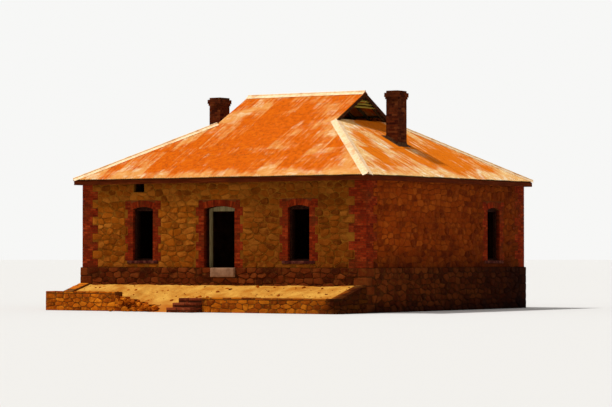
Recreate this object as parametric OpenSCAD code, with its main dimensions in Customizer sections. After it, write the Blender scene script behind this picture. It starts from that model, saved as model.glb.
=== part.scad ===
// Derelict rubble-stone cottage with brick dressings, a hipped iron roof with small gablets,
// and the stone terrace that its verandah stood on. Front faces -Y, right end faces +X.

/* [Plan] */
// Length of the house along its front, over the walls
house_w = 12000; // [9600:100:15000]
// Depth of the house from front to back, over the walls
house_d = 10800; // [8600:100:13000]
// Thickness of the rubble walls
wall_t = 450; // [350:10:600]

/* [Levels] */
// Height of the floor over the lowest ground
floor_z = 1500; // [1200:50:2200]
// Height of the walls over the floor
wall_h = 3100; // [2700:50:3800]
// How far the plinth stands out beyond the wall above
plinth_out = 50; // [20:5:90]
// Width of the ledge inside the plinth that carries the floor
floor_ledge = 150; // [100:10:250]

/* [Front and back openings] */
// Clear width of a doorway
door_w = 1300; // [900:50:1600]
// Height of a doorway at the crown of its arch
door_h = 2120; // [1900:20:2350]
// Distance from the middle of the front to the centre of a window there
window_x = 3300; // [2600:50:3700]
// Distance from the middle of the back to the centre of a window there
back_window_x = 2600; // [2500:50:3700]

/* [Windows] */
// Clear width of a window
window_w = 880; // [600:20:1100]
// Height of a window at the crown of its arch
window_h = 1890; // [1400:20:2000]
// Height of a window's sill over the floor
window_sill = 240; // [150:10:500]
// Distance from the middle of an end wall back to its window's centre
side_window_y = 3150; // [1500:50:3200]

/* [Brick dressings] */
// Height of one block of brick courses in the quoins
quoin_h = 300; // [225:15:450]
// Length of a short corner quoin beyond the wall thickness
quoin_tooth = 240; // [120:20:360]
// Width of a brick jamb in its short courses
jamb_short = 230; // [150:10:300]
// Width of a brick jamb in its long courses
jamb_long = 345; // [310:5:450]
// Depth of the brick arch over an opening at its crown
arch_depth = 230; // [150:10:300]
// Rise of the arch's soffit
arch_rise = 80; // [40:10:140]
// Height of a stone sill
sill_h = 110; // [80:10:140]
// How far a sill stands out from the wall
sill_out = 45; // [20:5:80]

/* [Joinery] */
// Face width of the timber in a frame
frame_face = 65; // [45:5:90]
// Depth of the timber in a frame
frame_depth = 100; // [70:10:140]
// Distance from the wall's face in to a window frame
frame_set = 140; // [80:10:200]
// Distance from the wall's face in to a door frame
door_frame_set = 320; // [80:10:330]
// Face width of the timber in a door frame
door_face = 90; // [60:5:120]

/* [Roof] */
// Pitch of the roof in degrees
roof_pitch = 29; // [24:0.5:34]
// Overhang of the eaves beyond the wall
eave_out = 220; // [150:10:450]
// Distance from the eave up to a gablet, in plan
gablet_run = 3820; // [3200:20:4200]
// How far the upper roof hangs over a gablet
verge_out = 150; // [110:10:240]
// Depth of a rafter, square to the slope
rafter_depth = 100; // [90:5:150]
// Thickness of a rafter
rafter_t = 50; // [38:2:75]
// Largest spacing of rafters and of floor joists
rafter_gap = 600; // [450:50:750]
// Thickness of a batten
batten_t = 38; // [25:1:50]
// Width of a batten
batten_w = 75; // [50:5:100]
// Largest spacing of battens up the slope, in plan
batten_gap = 760; // [500:20:900]
// Thickness that the corrugated sheets take up, square to the slope
iron_t = 18; // [12:1:24]
// How far the sheets hang over the fascia
iron_lip = 40; // [20:5:60]
// Width of a wing of the ridge and hip capping
cap_wing = 200; // [100:10:240]
// Diameter of the roll along the capping
cap_roll = 60; // [40:5:80]
// Height of the fascia board
fascia_h = 150; // [120:10:200]
// Thickness of fascia and barge boards
fascia_t = 25; // [20:1:35]

/* [Gablets] */
// Height from one louvre slat to the next
louvre_gap = 105; // [95:5:140]
// How far a slat stands out from the gablet's rafters
louvre_out = 85; // [60:5:100]
// Slats that have fallen from the bottom of the right gablet
louvres_lost = 4; // [0:1:6]

/* [Chimneys] */
// Size of a chimney stack from side to side
stack_w = 470; // [450:10:700]
// Size of a chimney stack from front to back
stack_d = 600; // [560:20:820]
// Distance from the eave to the middle of a stack, in plan
stack_run = 2370; // [2100:10:2600]
// Height of the stacks' tops over the ground
stack_top = 7750; // [7500:50:8600]
// Size of the chimney breast from front to back
breast_d = 1500; // [1100:50:1900]
// Projection of each oversailing course at the top
oversail = 26; // [20:2:60]

/* [Terrace] */
// Depth of the terrace in front of the wall
terrace_d = 2000; // [1600:50:2600]
// Thickness of the terrace's retaining walls
terrace_t = 400; // [300:10:500]
// Height of the left stretch of the retaining wall
terrace_h_left = 660; // [560:10:800]
// Height of the right stretch of the retaining wall
terrace_h_right = 500; // [460:10:700]
// Height of the fill where it meets the house
fill_back_h = 900; // [850:10:1050]
// Height of the fill behind the retaining wall
fill_front_h = 430; // [350:10:440]
// Distance from the middle of the front left to the far end of the collapsed stretch
broken_far = 2970; // [2500:10:3600]
// Distance from the middle of the front left to the near end of that stretch's last stones
broken_near = 1250; // [1000:10:1700]
// How far the earth that slid out lies in front of the terrace
spill_out = 450; // [200:10:700]
// Distance from the middle of the front left to the steps' left side
steps_left = 290; // [200:10:700]
// Distance from the middle of the front right to the steps' right side
steps_right = 710; // [550:10:1000]
// Number of steps up to the terrace
steps_count = 3; // [2:1:4]
// How far the lowest step stands out from the terrace
steps_out = 650; // [300:10:900]

/* [Hidden] */

// Colours of the finishes
rubble_colour = "#a07a45";
plinth_colour = "#7d5c3a";
brick_colour = "#9a5236";
sill_colour = "#b3a18c";
timber_colour = "#6f6250";
rust_colour = "#c8782c";
zinc_colour = "#c9c4b8";
earth_colour = "#b08a52";

// Fixed details of the frame and the floor
board_t = 32;
joist_h = 120;
joist_t = 50;
sleeper_t = 300;
plate_w = 100;
plate_h = 75;
plate_in = 50;
tie_h = 150;
collar_h = 200;
collar_t = 35;
ridge_t = 32;
ridge_h = 180;
hip_extra = 60;
cap_t = 4;
seat_gap = 2;
floor_gap = 10;
stack_gap = 15;
flue_w = 230;
flue_deep = 600;
course_h = 75;
slat_t = 20;
slat_drop = 60;
hole_w = 480;
hole_h = 450;
roll_fn = 12;
arch_fn = 360;

// Derived sizes of the walls
half_w = house_w / 2;
half_d = house_d / 2;
wall_top = floor_z + wall_h;
ledge_z = floor_z - board_t - joist_h;
inner_w = house_w - 2 * wall_t;
inner_d = house_d - 2 * wall_t;

// Derived sizes of the roof: heights are measured plumb, so they grow by the slope
slope = tan(roof_pitch);
rafter_v = rafter_depth / cos(roof_pitch);
batten_v = batten_t / cos(roof_pitch);
iron_v = iron_t / cos(roof_pitch);
cap_v = cap_t / cos(roof_pitch);
eave_half_w = half_w + eave_out;
eave_half_d = half_d + eave_out;
plate_top = wall_top + plate_h;
// A rafter's underside meets the plate at the plate's inner edge, which makes a full seat
eave_z = plate_top + rafter_v - (eave_out + plate_in + plate_w) * slope;
cover_v = batten_v + iron_v;
gablet_x = eave_half_w - gablet_run;
gablet_half = eave_half_d - gablet_run;
gablet_z = eave_z + gablet_run * slope;
ridge_z = eave_z + eave_half_d * slope;
hip_shift = rafter_t / 2 * sqrt(2);
stack_x = eave_half_w - stack_run;
far = 40000;

// Derived sizes of the terrace, and the shift that puts the origin under the middle of the whole
terrace_y = -(half_d + terrace_d);
terrace_half = half_w + plinth_out;
front_y = terrace_y - steps_out;
back_y = eave_half_d + iron_lip;
shift_y = -(front_y + back_y) / 2;

module placed() translate([0, shift_y, 0]) children();

// Coordinates on a slope k (0 front, 1 right, 2 back, 3 left): x runs along the eave, y runs in
// from the eave's edge, and z is the true height
function run_to_middle(k) = k % 2 == 0 ? eave_half_d : eave_half_w;
function half_eave(k) = k % 2 == 0 ? eave_half_w : eave_half_d;
module on_slope(k) rotate([0, 0, 90 * k]) translate([0, -run_to_middle(k), 0]) children();

// A bar along x whose section follows the slope from run r0 to r1, between two plumb offsets
module slope_bar(x0, x1, r0, r1, low, high)
    translate([x0, 0, 0]) rotate([90, 0, 90]) linear_extrude(x1 - x0)
        polygon([
            [r0, eave_z + r0 * slope + low], [r1, eave_z + r1 * slope + low],
            [r1, eave_z + r1 * slope + high], [r0, eave_z + r0 * slope + high]
        ]);

// Plan of a long slope: up the hips, then plumb up the verges to the ridge
function main_plan(edge, shift, verge, ridge_gap) =
    let (x = gablet_x + verge, r = gablet_run - verge - shift, top = eave_half_d - ridge_gap)
    [
        [-(eave_half_w - edge - shift), edge], [eave_half_w - edge - shift, edge],
        [x, r], [x, top], [-x, top], [-x, r]
    ];

// Plan of an end slope: up the hips to the gablet
function end_plan(edge, shift, top_gap) =
    let (r = gablet_run - top_gap)
    [
        [-(eave_half_d - edge - shift), edge], [eave_half_d - edge - shift, edge],
        [eave_half_d - r - shift, r], [-(eave_half_d - r - shift), r]
    ];

module plan_prism(plan) linear_extrude(far) polygon(plan);

// Everything under the top of an end slope's sheets, within that slope's plan
module end_roof_body(k)
    on_slope(k) intersection() {
        plan_prism(end_plan(-iron_lip, 0, collar_t));
        slope_bar(-far, far, -iron_lip, run_to_middle(k), -far, cover_v);
    }

module main_layer(k, edge, low, high)
    difference() {
        on_slope(k) intersection() {
            plan_prism(main_plan(edge, 0, verge_out, 0));
            slope_bar(-far, far, edge, run_to_middle(k), low, high);
        }
        end_roof_body(1);
        end_roof_body(3);
    }

module end_layer(k, edge, low, high)
    difference() {
        on_slope(k) intersection() {
            plan_prism(end_plan(edge, 0, collar_t));
            slope_bar(-far, far, edge, gablet_run, low, high);
        }
        stack_space();
    }

// Room left round both stacks where they pass through floor and roof
module stack_space()
    for (side = [-1, 1])
        translate([side * stack_x, 0, 0]) centred_box(stack_w + 2 * stack_gap, stack_d + 2 * stack_gap, 0, far);

module breast_space()
    for (side = [-1, 1])
        translate([side * stack_x, 0, 0]) centred_box(stack_w + 2 * floor_gap, breast_d + 2 * floor_gap, 0, wall_top);

module centred_box(w, d, z0, z1) translate([-w / 2, -d / 2, z0]) cube([w, d, z1 - z0]);

// Outlines of openings and of the brickwork round them, drawn upright with y as height over the floor
module opening_outline(w, sill, h, grow = 0) {
    spring = h - arch_rise;
    radius = (w * w / 4 + arch_rise * arch_rise) / (2 * arch_rise);
    translate([-w / 2, sill - grow]) square([w, spring + grow]);
    intersection() {
        translate([-w / 2, sill + spring - 1]) square([w, arch_rise + 2]);
        translate([0, sill + h - radius]) circle(r = radius, $fn = arch_fn);
    }
}

// Blocks of courses that end long and short by turns, from x = 0
module toothed_strip(long, short, height)
    for (i = [0 : ceil(height / quoin_h) - 1])
        translate([0, i * quoin_h])
            square([i % 2 == 0 ? long : short, min(quoin_h, height - i * quoin_h)]);

function surround_top(sill, h) = sill + h + arch_depth;

module surround_block(w, sill, h)
    for (side = [0, 1]) mirror([side, 0])
        translate([0, sill])
            toothed_strip(w / 2 + jamb_long, w / 2 + jamb_short, h + arch_depth);

module sill_outline(w, sill)
    translate([-w / 2 - jamb_short, sill - sill_h]) square([w + 2 * jamb_short, sill_h]);

module window_cut() {
    surround_block(window_w, window_sill, window_h);
    sill_outline(window_w, window_sill);
}

module door_cut() surround_block(door_w, 0, door_h);

module over_door_outline()
    translate([-door_w / 2 - jamb_long, surround_top(0, door_h)])
        square([door_w + 2 * jamb_long, wall_h - surround_top(0, door_h)]);

// Stands an outline up as a wall piece on side k, whose outer face is at the wall's face
module stand_wall(k, depth_from = 0, depth_to = wall_t)
    rotate([0, 0, 90 * k])
        translate([0, -(k % 2 == 0 ? half_d : half_w) + depth_to, floor_z])
            rotate([90, 0, 0]) linear_extrude(depth_to - depth_from) children();

module long_wall_outline(centre_x)
    difference() {
        translate([-half_w, 0]) square([house_w, wall_h]);
        for (side = [0, 1]) mirror([side, 0])
            translate([-half_w, 0]) toothed_strip(wall_t + quoin_tooth, wall_t, wall_h);
        door_cut();
        for (side = [-1, 1]) translate([side * centre_x, 0]) window_cut();
        over_door_outline();
    }

module half_outline(side, centre_x)
    intersection() {
        long_wall_outline(centre_x);
        translate([side < 0 ? -far : 0, 0]) square([far, wall_h]);
    }

// The window's side is +1 or -1 along the wall as it is seen from outside
module end_wall_outline(window_side)
    difference() {
        translate([-half_d + wall_t, 0]) square([inner_d, wall_h]);
        for (side = [0, 1]) mirror([side, 0])
            translate([-half_d, 0]) toothed_strip(wall_t, wall_t + quoin_tooth, wall_h);
        translate([window_side * side_window_y, 0]) window_cut();
    }

// Puts children at every window: on both long walls and once on each end wall
module at_windows(depth_from, depth_to) {
    for (side = [-1, 1]) {
        stand_wall(0, depth_from, depth_to) translate([side * window_x, 0]) children();
        stand_wall(2, depth_from, depth_to) translate([side * back_window_x, 0]) children();
    }
    stand_wall(1, depth_from, depth_to) translate([side_window_y, 0]) children();
    stand_wall(3, depth_from, depth_to) translate([-side_window_y, 0]) children();
}

module at_doors(depth_from, depth_to)
    for (k = [0, 2]) stand_wall(k, depth_from, depth_to) children();

// Plinth: a stone base wall with a ledge inside for the floor, front and back running full length
module plinth_run(length, ledge_length) {
    translate([-length / 2, -plinth_out, 0]) cube([length, plinth_out + wall_t, floor_z]);
    translate([-ledge_length / 2, 0, 0]) cube([ledge_length, wall_t + floor_ledge, ledge_z]);
}

// A doorstep is one block, set towards the right jamb as it is seen from outside
doorstep_w = 1000;
doorstep_h = 330;
doorstep_out = 160;
doorstep_past = 60;
doorstep_x = door_w / 2 + doorstep_past - doorstep_w;

module long_plinth(k)
    rotate([0, 0, 90 * k]) translate([0, -half_d, 0]) difference() {
        plinth_run(house_w + 2 * plinth_out, inner_w);
        translate([doorstep_x, -far, floor_z - doorstep_h]) cube([doorstep_w, far + wall_t, far]);
    }
module end_plinth(k)
    rotate([0, 0, 90 * k]) translate([0, -half_w, 0]) plinth_run(inner_d, inner_d - 2 * floor_ledge);
module plinth_front() color(plinth_colour) long_plinth(0);
module plinth_back() color(plinth_colour) long_plinth(2);
module plinth_left() color(plinth_colour) end_plinth(3);
module plinth_right() color(plinth_colour) end_plinth(1);

module sleeper_walls() color(plinth_colour) difference() {
    for (side = [-1, 1])
        translate([0, side * inner_d / 6, 0])
            centred_box(inner_w - 2 * floor_ledge, sleeper_t, 0, ledge_z);
    breast_space();
}

joist_span = inner_w - 2 * joist_t;
joist_bays = ceil(joist_span / rafter_gap);
module floor_joists() color(timber_colour) difference() {
    for (i = [0 : joist_bays])
        translate([-joist_span / 2 + i * joist_span / joist_bays, 0, 0])
            centred_box(joist_t, inner_d - 2 * floor_gap, ledge_z, ledge_z + joist_h);
    breast_space();
}

module floor_boards() color(timber_colour) difference() {
    centred_box(inner_w - 2 * floor_gap, inner_d - 2 * floor_gap, floor_z - board_t, floor_z);
    breast_space();
}

module doorsteps() color(sill_colour)
    for (k = [0, 2])
        rotate([0, 0, 90 * k])
            translate([doorstep_x, -half_d - doorstep_out, floor_z - doorstep_h])
                cube([doorstep_w, doorstep_out + wall_t, doorstep_h]);

// Terrace: retaining walls round a sloping fill, with a collapsed stretch and steps
module terrace_wall(x0, x1, h)
    translate([x0, terrace_y, 0]) cube([x1 - x0, terrace_t, h]);
module terrace_wall_left() color(rubble_colour)
    terrace_wall(-terrace_half, -broken_far, terrace_h_left);
module terrace_wall_right() color(rubble_colour)
    terrace_wall(steps_right, terrace_half, terrace_h_right);

// What is left of the collapsed stretch falls away in courses to the right
broken_steps = 5;
broken_top = 495;
broken_drop = 86;
module terrace_wall_broken() color(rubble_colour) {
    step = (broken_far - broken_near) / broken_steps;
    for (i = [0 : broken_steps - 1])
        let (x0 = -broken_far + i * step)
        terrace_wall(x0, x0 + step, broken_top - i * broken_drop);
}

module terrace_end_walls() color(rubble_colour)
    for (side = [0, 1]) mirror([side, 0, 0])
        translate([terrace_half, 0, 0]) rotate([90, 0, -90]) linear_extrude(terrace_t)
            polygon([
                [half_d + plinth_out, 0], [half_d + terrace_d - terrace_t, 0],
                [half_d + terrace_d - terrace_t, terrace_h_right],
                [half_d + plinth_out, fill_back_h + fill_below]
            ]);

module fill_section(x0, x1, front_h)
    translate([x0, 0, 0]) rotate([90, 0, 90]) linear_extrude(x1 - x0)
        polygon([
            [terrace_y + terrace_t, 0], [-half_d - plinth_out, 0],
            [-half_d - plinth_out, fill_back_h], [terrace_y + terrace_t, front_h]
        ]);
slumped_h = 230;
spill_toe_h = 20;
fill_below = 40;
module terrace_fill() color(earth_colour) {
    fill_section(-terrace_half + terrace_t, -broken_far, fill_front_h);
    fill_section(-broken_far, -steps_left, slumped_h);
    fill_section(-steps_left, terrace_half - terrace_t, fill_front_h);
    // The slid earth lies where the wall stood, and falls to a thin toe in front of it
    translate([-broken_near, 0, 0]) rotate([90, 0, 90]) linear_extrude(broken_near - steps_left)
        polygon([
            [terrace_y - spill_out, 0], [terrace_y + terrace_t, 0],
            [terrace_y + terrace_t, slumped_h], [terrace_y - spill_out, spill_toe_h]
        ]);
}

module terrace_steps() color(sill_colour)
    for (i = [0 : steps_count - 1])
        let (rise = (fill_front_h + fill_below) / steps_count, run = (terrace_t + steps_out) / steps_count)
        translate([-steps_left, terrace_y - steps_out + i * run, 0])
            cube([steps_left + steps_right, (steps_count - i) * run, (i + 1) * rise]);

// Walls: stones have dropped out from under the plate, near the left front window
hole_off = 420;
hole_x = -window_x - hole_off;
module dropped_stones()
    translate([hole_x, -half_d - 1, wall_top - hole_h]) cube([hole_w, wall_t + 2, hole_h + 1]);
module front_wall_left() color(rubble_colour) difference() {
    stand_wall(0) half_outline(-1, window_x);
    dropped_stones();
}
module front_wall_right() color(rubble_colour) stand_wall(0) half_outline(1, window_x);
module front_wall_over_door() color(rubble_colour) stand_wall(0) over_door_outline();
module back_wall_left() color(rubble_colour) stand_wall(2) half_outline(1, back_window_x);
module back_wall_right() color(rubble_colour) stand_wall(2) half_outline(-1, back_window_x);
module back_wall_over_door() color(rubble_colour) stand_wall(2) over_door_outline();
module left_wall() color(rubble_colour) stand_wall(3) end_wall_outline(-1);
module right_wall() color(rubble_colour) stand_wall(1) end_wall_outline(1);

// Brick dressings
module corner_quoins() color(brick_colour)
    for (sx = [0, 1], sy = [0, 1]) mirror([sx, 0, 0]) mirror([0, sy, 0])
        for (i = [0 : ceil(wall_h / quoin_h) - 1])
            let (even = i % 2 == 0)
            translate([-half_w, -half_d, floor_z + i * quoin_h])
                cube([
                    wall_t + (even ? quoin_tooth : 0), wall_t + (even ? 0 : quoin_tooth),
                    min(quoin_h, wall_h - i * quoin_h)
                ]);

module door_surrounds() color(brick_colour)
    at_doors(0, wall_t) difference() {
        door_cut();
        opening_outline(door_w, 0, door_h, 1);
    }

module window_surrounds() color(brick_colour)
    at_windows(0, wall_t) difference() {
        surround_block(window_w, window_sill, window_h);
        opening_outline(window_w, window_sill, window_h, 1);
    }

module window_sills() color(sill_colour)
    at_windows(-sill_out, wall_t) sill_outline(window_w, window_sill);

// Frames: the head and the sill rail stand between two posts, a hair apart at the joints
frame_joint = 1;
module frame_outline(w, sill, h, face, bottom)
    difference() {
        opening_outline(w, sill, h);
        translate([-w / 2 + face, sill + bottom])
            square([w - 2 * face, h - arch_rise - face - bottom]);
        for (side = [0, 1]) mirror([side, 0])
            translate([w / 2 - face - frame_joint, sill]) square([frame_joint, h]);
    }
module window_frames() color(timber_colour)
    at_windows(frame_set, frame_set + frame_depth)
        frame_outline(window_w, window_sill, window_h, frame_face, frame_face);
// A door frame has no sill: its cut runs down past the floor
module door_frames() color(timber_colour)
    at_doors(door_frame_set, door_frame_set + frame_depth)
        frame_outline(door_w, 0, door_h, door_face, -door_face);

// Roof timbers
module plate_ring()
    difference() {
        centred_box(house_w - 2 * plate_in, house_d - 2 * plate_in, wall_top, plate_top);
        centred_box(
            house_w - 2 * (plate_in + plate_w), house_d - 2 * (plate_in + plate_w), wall_top - 1, plate_top + 1
        );
    }
module wall_plates() color(timber_colour) plate_ring();
// What a rafter is notched over: the plate, and the wall's top beside it
module rafter_seats() {
    plate_ring();
    centred_box(house_w, house_d, 0, wall_top);
}

main_bays = ceil(2 * (gablet_x - rafter_t / 2) / rafter_gap);
main_step = 2 * (gablet_x - rafter_t / 2) / main_bays;
function main_rafter_x(i) = -gablet_x + rafter_t / 2 + i * main_step;
// Jack rafters stand evenly from the last full rafter to one half a gap in from the wall's corner
jack_span = half_w - rafter_gap / 2 - main_rafter_x(main_bays);
jack_bays = ceil(jack_span / rafter_gap);
module rafter(x, top) slope_bar(x - rafter_t / 2, x + rafter_t / 2, fascia_t, top, -rafter_v, 0);
module main_rafters() color(timber_colour) difference() {
    for (k = [0, 2]) on_slope(k) intersection() {
        plan_prism(main_plan(fascia_t, hip_shift, 0, ridge_t / 2));
        union() {
            for (i = [0 : main_bays]) rafter(main_rafter_x(i), eave_half_d);
            for (side = [-1, 1], i = [1 : jack_bays])
                rafter(side * (main_rafter_x(main_bays) + i * jack_span / jack_bays), eave_half_d);
        }
    }
    rafter_seats();
}

// End rafters stand evenly from beside the stack to one half a gap in from the wall's corner
end_first = stack_d / 2 + stack_gap + rafter_t / 2;
end_span = half_d - rafter_gap / 2 - end_first;
end_bays = ceil(end_span / rafter_gap);
module end_rafters() color(timber_colour) difference() {
    for (k = [1, 3]) on_slope(k) intersection() {
        plan_prism(end_plan(fascia_t, hip_shift, collar_t));
        for (i = [0 : end_bays], side = [-1, 1])
            rafter(side * (end_first + i * end_span / end_bays), gablet_run);
    }
    rafter_seats();
}

// Hips run up the diagonals from the corners of the eaves to the gablets' collars
module hip_line() for (sx = [0, 1], sy = [0, 1]) mirror([sx, 0, 0]) mirror([0, sy, 0])
    translate([-eave_half_w, -eave_half_d, 0]) rotate([0, 0, 45]) children();
module hip_rafters() color(timber_colour) difference() {
    intersection() {
        hip_line() rotate([90, 0, 0]) linear_extrude(rafter_t, center = true)
            polygon([
                for (p = [[0, -rafter_v - hip_extra], [gablet_run, -rafter_v - hip_extra], [gablet_run, 0], [0, 0]])
                    [p[0] * sqrt(2), eave_z + p[0] * slope + p[1]]
            ]);
        difference() {
            centred_box(2 * (eave_half_w - fascia_t), 2 * (eave_half_d - fascia_t), 0, far);
            centred_box(2 * (gablet_x + collar_t), far, -1, far + 1);
        }
    }
    rafter_seats();
}

module ridge_board() color(timber_colour)
    centred_box(2 * gablet_x, ridge_t, ridge_z - ridge_h, ridge_z - ridge_t / 2 * slope);

module gablet_collars() color(timber_colour)
    for (side = [0, 1]) mirror([side, 0, 0])
        translate([gablet_x, -gablet_half, gablet_z - collar_h])
            cube([collar_t, 2 * gablet_half, collar_h]);

tie_every = 2;
module tie_beams() color(timber_colour)
    intersection() {
        for (i = [0 : tie_every : main_bays])
            translate([main_rafter_x(i) + rafter_t / 2, -half_d + plate_in, plate_top])
                cube([rafter_t, house_d - 2 * plate_in, tie_h]);
        rotate([90, 0, 90]) linear_extrude(far, center = true)
            polygon([[-eave_half_d, eave_z], [0, ridge_z], [eave_half_d, eave_z]]);
    }

function batten_count(run) = ceil((run - batten_w - fascia_t) / batten_gap);
module batten_rows(run, x_half)
    for (i = [0 : batten_count(run)])
        let (r = fascia_t + i * (run - batten_w - fascia_t) / batten_count(run))
        slope_bar(-x_half, x_half, r, r + batten_w, 0, batten_v);
module roof_battens() color(timber_colour) {
    difference() {
        for (k = [0, 2]) on_slope(k) intersection() {
            plan_prism(main_plan(0, hip_shift + seat_gap, verge_out - fascia_t, seat_gap));
            batten_rows(eave_half_d - seat_gap, eave_half_w);
        }
        end_roof_body(1);
        end_roof_body(3);
    }
    difference() {
        for (k = [1, 3]) on_slope(k) intersection() {
            plan_prism(end_plan(0, hip_shift + seat_gap, collar_t));
            batten_rows(gablet_run - collar_t, eave_half_d);
        }
        stack_space();
    }
}

// Corrugated sheets, as the space they take up on each slope
module roof_iron_front() color(rust_colour) main_layer(0, -iron_lip, batten_v, cover_v);
module roof_iron_back() color(rust_colour) main_layer(2, -iron_lip, batten_v, cover_v);
module roof_iron_right() color(rust_colour) end_layer(1, -iron_lip, batten_v, cover_v);
module roof_iron_left() color(rust_colour) end_layer(3, -iron_lip, batten_v, cover_v);

module ridge_cap() color(zinc_colour) {
    z = ridge_z + cover_v;
    wing = cap_wing * cos(roof_pitch);
    translate([-gablet_x - verge_out, 0, 0]) rotate([90, 0, 90]) linear_extrude(2 * (gablet_x + verge_out))
        difference() {
            union() {
                polygon([
                    [-wing, z - wing * slope], [wing, z - wing * slope],
                    [wing, z - wing * slope + cap_v], [0, z + cap_v], [-wing, z - wing * slope + cap_v]
                ]);
                translate([0, z + cap_roll / 4]) circle(d = cap_roll, $fn = roll_fn);
            }
            polygon([[-far, z - far * slope], [far, z - far * slope], [0, z]]);
        }
}

hip_angle = atan(slope / sqrt(2));
module hip_caps() color(zinc_colour)
    for (sx = [0, 1], sy = [0, 1]) mirror([sx, 0, 0]) mirror([0, sy, 0]) {
        for (k = [0, 1]) hip_wing(k);
        difference() {
            intersection() {
                translate([eave_half_w + iron_lip, -eave_half_d - iron_lip, hip_base_z])
                    rotate([0, 0, 135]) rotate([0, 90 - hip_angle, 0])
                        cylinder(d = cap_roll, h = hip_length, $fn = roll_fn);
                translate([gablet_x + verge_out, -eave_half_d - iron_lip, 0])
                    cube([gablet_run - verge_out + iron_lip, eave_half_d + iron_lip, far]);
            }
            intersection() {
                under_sheets(0);
                under_sheets(1);
            }
        }
    }
module under_sheets(k) on_slope(k) slope_bar(-far, far, -2 * iron_lip, gablet_run, -far, cover_v);
hip_base_z = eave_z - iron_lip * slope + cover_v + cap_roll / 4;
hip_length = (gablet_run - verge_out + iron_lip) * sqrt(2) / cos(hip_angle) + cap_roll;
module hip_wing(k)
    on_slope(k) intersection() {
        wing = cap_wing * sqrt(2);
        low = -iron_lip;
        top = gablet_run - verge_out;
        end = half_eave(k);
        sign = k == 0 ? 1 : -1;
        plan_prism([
            [sign * (end - low), low], [sign * (end - low - wing), low],
            [sign * (end - top - wing), top], [sign * (end - top), top]
        ]);
        slope_bar(-far, far, low, top, cover_v, cover_v + cap_v);
    }

// Barge boards close the ends of the upper roof's battens
barge_h = 150;
module barge_boards() color(timber_colour) difference() {
    for (k = [0, 2], side = [0, 1]) on_slope(k) mirror([side, 0, 0])
        slope_bar(
            gablet_x + verge_out - fascia_t, gablet_x + verge_out,
            gablet_run - verge_out + fascia_t, eave_half_d, batten_v - barge_h, batten_v
        );
    end_roof_body(1);
    end_roof_body(3);
}

// Louvre slats nailed across the gablets' rafters; the right gablet has lost its lower ones
// The lowest slat clears the top edge of the end slope's sheets
louvre_rows = floor((gablet_half * slope - rafter_v - cover_v) / louvre_gap);
module slats(first)
    intersection() {
        for (i = [first : louvre_rows - 1])
            let (z = gablet_z + cover_v + i * louvre_gap)
            translate([gablet_x, far / 2, 0]) rotate([90, 0, 0]) linear_extrude(far)
                polygon([
                    [0, z + slat_drop], [louvre_out, z], [louvre_out, z + slat_t], [0, z + slat_drop + slat_t]
                ]);
        rotate([90, 0, 90]) linear_extrude(far)
            polygon([
                [-gablet_half, gablet_z], [gablet_half, gablet_z], [0, ridge_z]
            ]);
    }
module gablet_louvres() color(timber_colour) {
    slats(louvres_lost);
    mirror([1, 0, 0]) slats(0);
}

module fascia_boards() color(timber_colour)
    difference() {
        centred_box(2 * eave_half_w, 2 * eave_half_d, eave_z - fascia_h, eave_z);
        centred_box(
            2 * (eave_half_w - fascia_t), 2 * (eave_half_d - fascia_t), eave_z - fascia_h - 1, eave_z + 1
        );
    }

// A chimney: breast from the ground, shoulders, then the stack with oversailing courses and a flue
shoulder_h = 500;
module chimney(side) color(brick_colour)
    translate([side * stack_x, 0, 0]) difference() {
        union() {
            rotate([90, 0, 90]) linear_extrude(stack_w, center = true)
                polygon([
                    [-breast_d / 2, 0], [breast_d / 2, 0], [breast_d / 2, wall_top - shoulder_h - tie_h],
                    [stack_d / 2, wall_top - tie_h], [stack_d / 2, stack_top], [-stack_d / 2, stack_top],
                    [-stack_d / 2, wall_top - tie_h], [-breast_d / 2, wall_top - shoulder_h - tie_h]
                ]);
            for (i = [1, 2])
                centred_box(
                    stack_w + 2 * i * oversail, stack_d + 2 * i * oversail,
                    stack_top - (5 - i) * course_h, stack_top - (3 - i) * course_h
                );
        }
        centred_box(flue_w, flue_w, stack_top - flue_deep, stack_top + 1);
    }
module chimney_left() chimney(-1);
module chimney_right() chimney(1);

placed() plinth_front();
placed() plinth_back();
placed() plinth_left();
placed() plinth_right();
placed() sleeper_walls();
placed() floor_joists();
placed() floor_boards();
placed() doorsteps();
placed() terrace_wall_left();
placed() terrace_wall_broken();
placed() terrace_wall_right();
placed() terrace_end_walls();
placed() terrace_fill();
placed() terrace_steps();
placed() front_wall_left();
placed() front_wall_right();
placed() front_wall_over_door();
placed() back_wall_left();
placed() back_wall_right();
placed() back_wall_over_door();
placed() left_wall();
placed() right_wall();
placed() corner_quoins();
placed() door_surrounds();
placed() window_surrounds();
placed() window_sills();
placed() window_frames();
placed() door_frames();
placed() wall_plates();
placed() tie_beams();
placed() ridge_board();
placed() hip_rafters();
placed() main_rafters();
placed() end_rafters();
placed() gablet_collars();
placed() roof_battens();
placed() roof_iron_front();
placed() roof_iron_back();
placed() roof_iron_left();
placed() roof_iron_right();
placed() ridge_cap();
placed() hip_caps();
placed() barge_boards();
placed() gablet_louvres();
placed() fascia_boards();
placed() chimney_left();
placed() chimney_right();
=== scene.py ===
import math
import random

import bmesh
import bpy
import numpy as np
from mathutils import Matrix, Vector, noise


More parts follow.
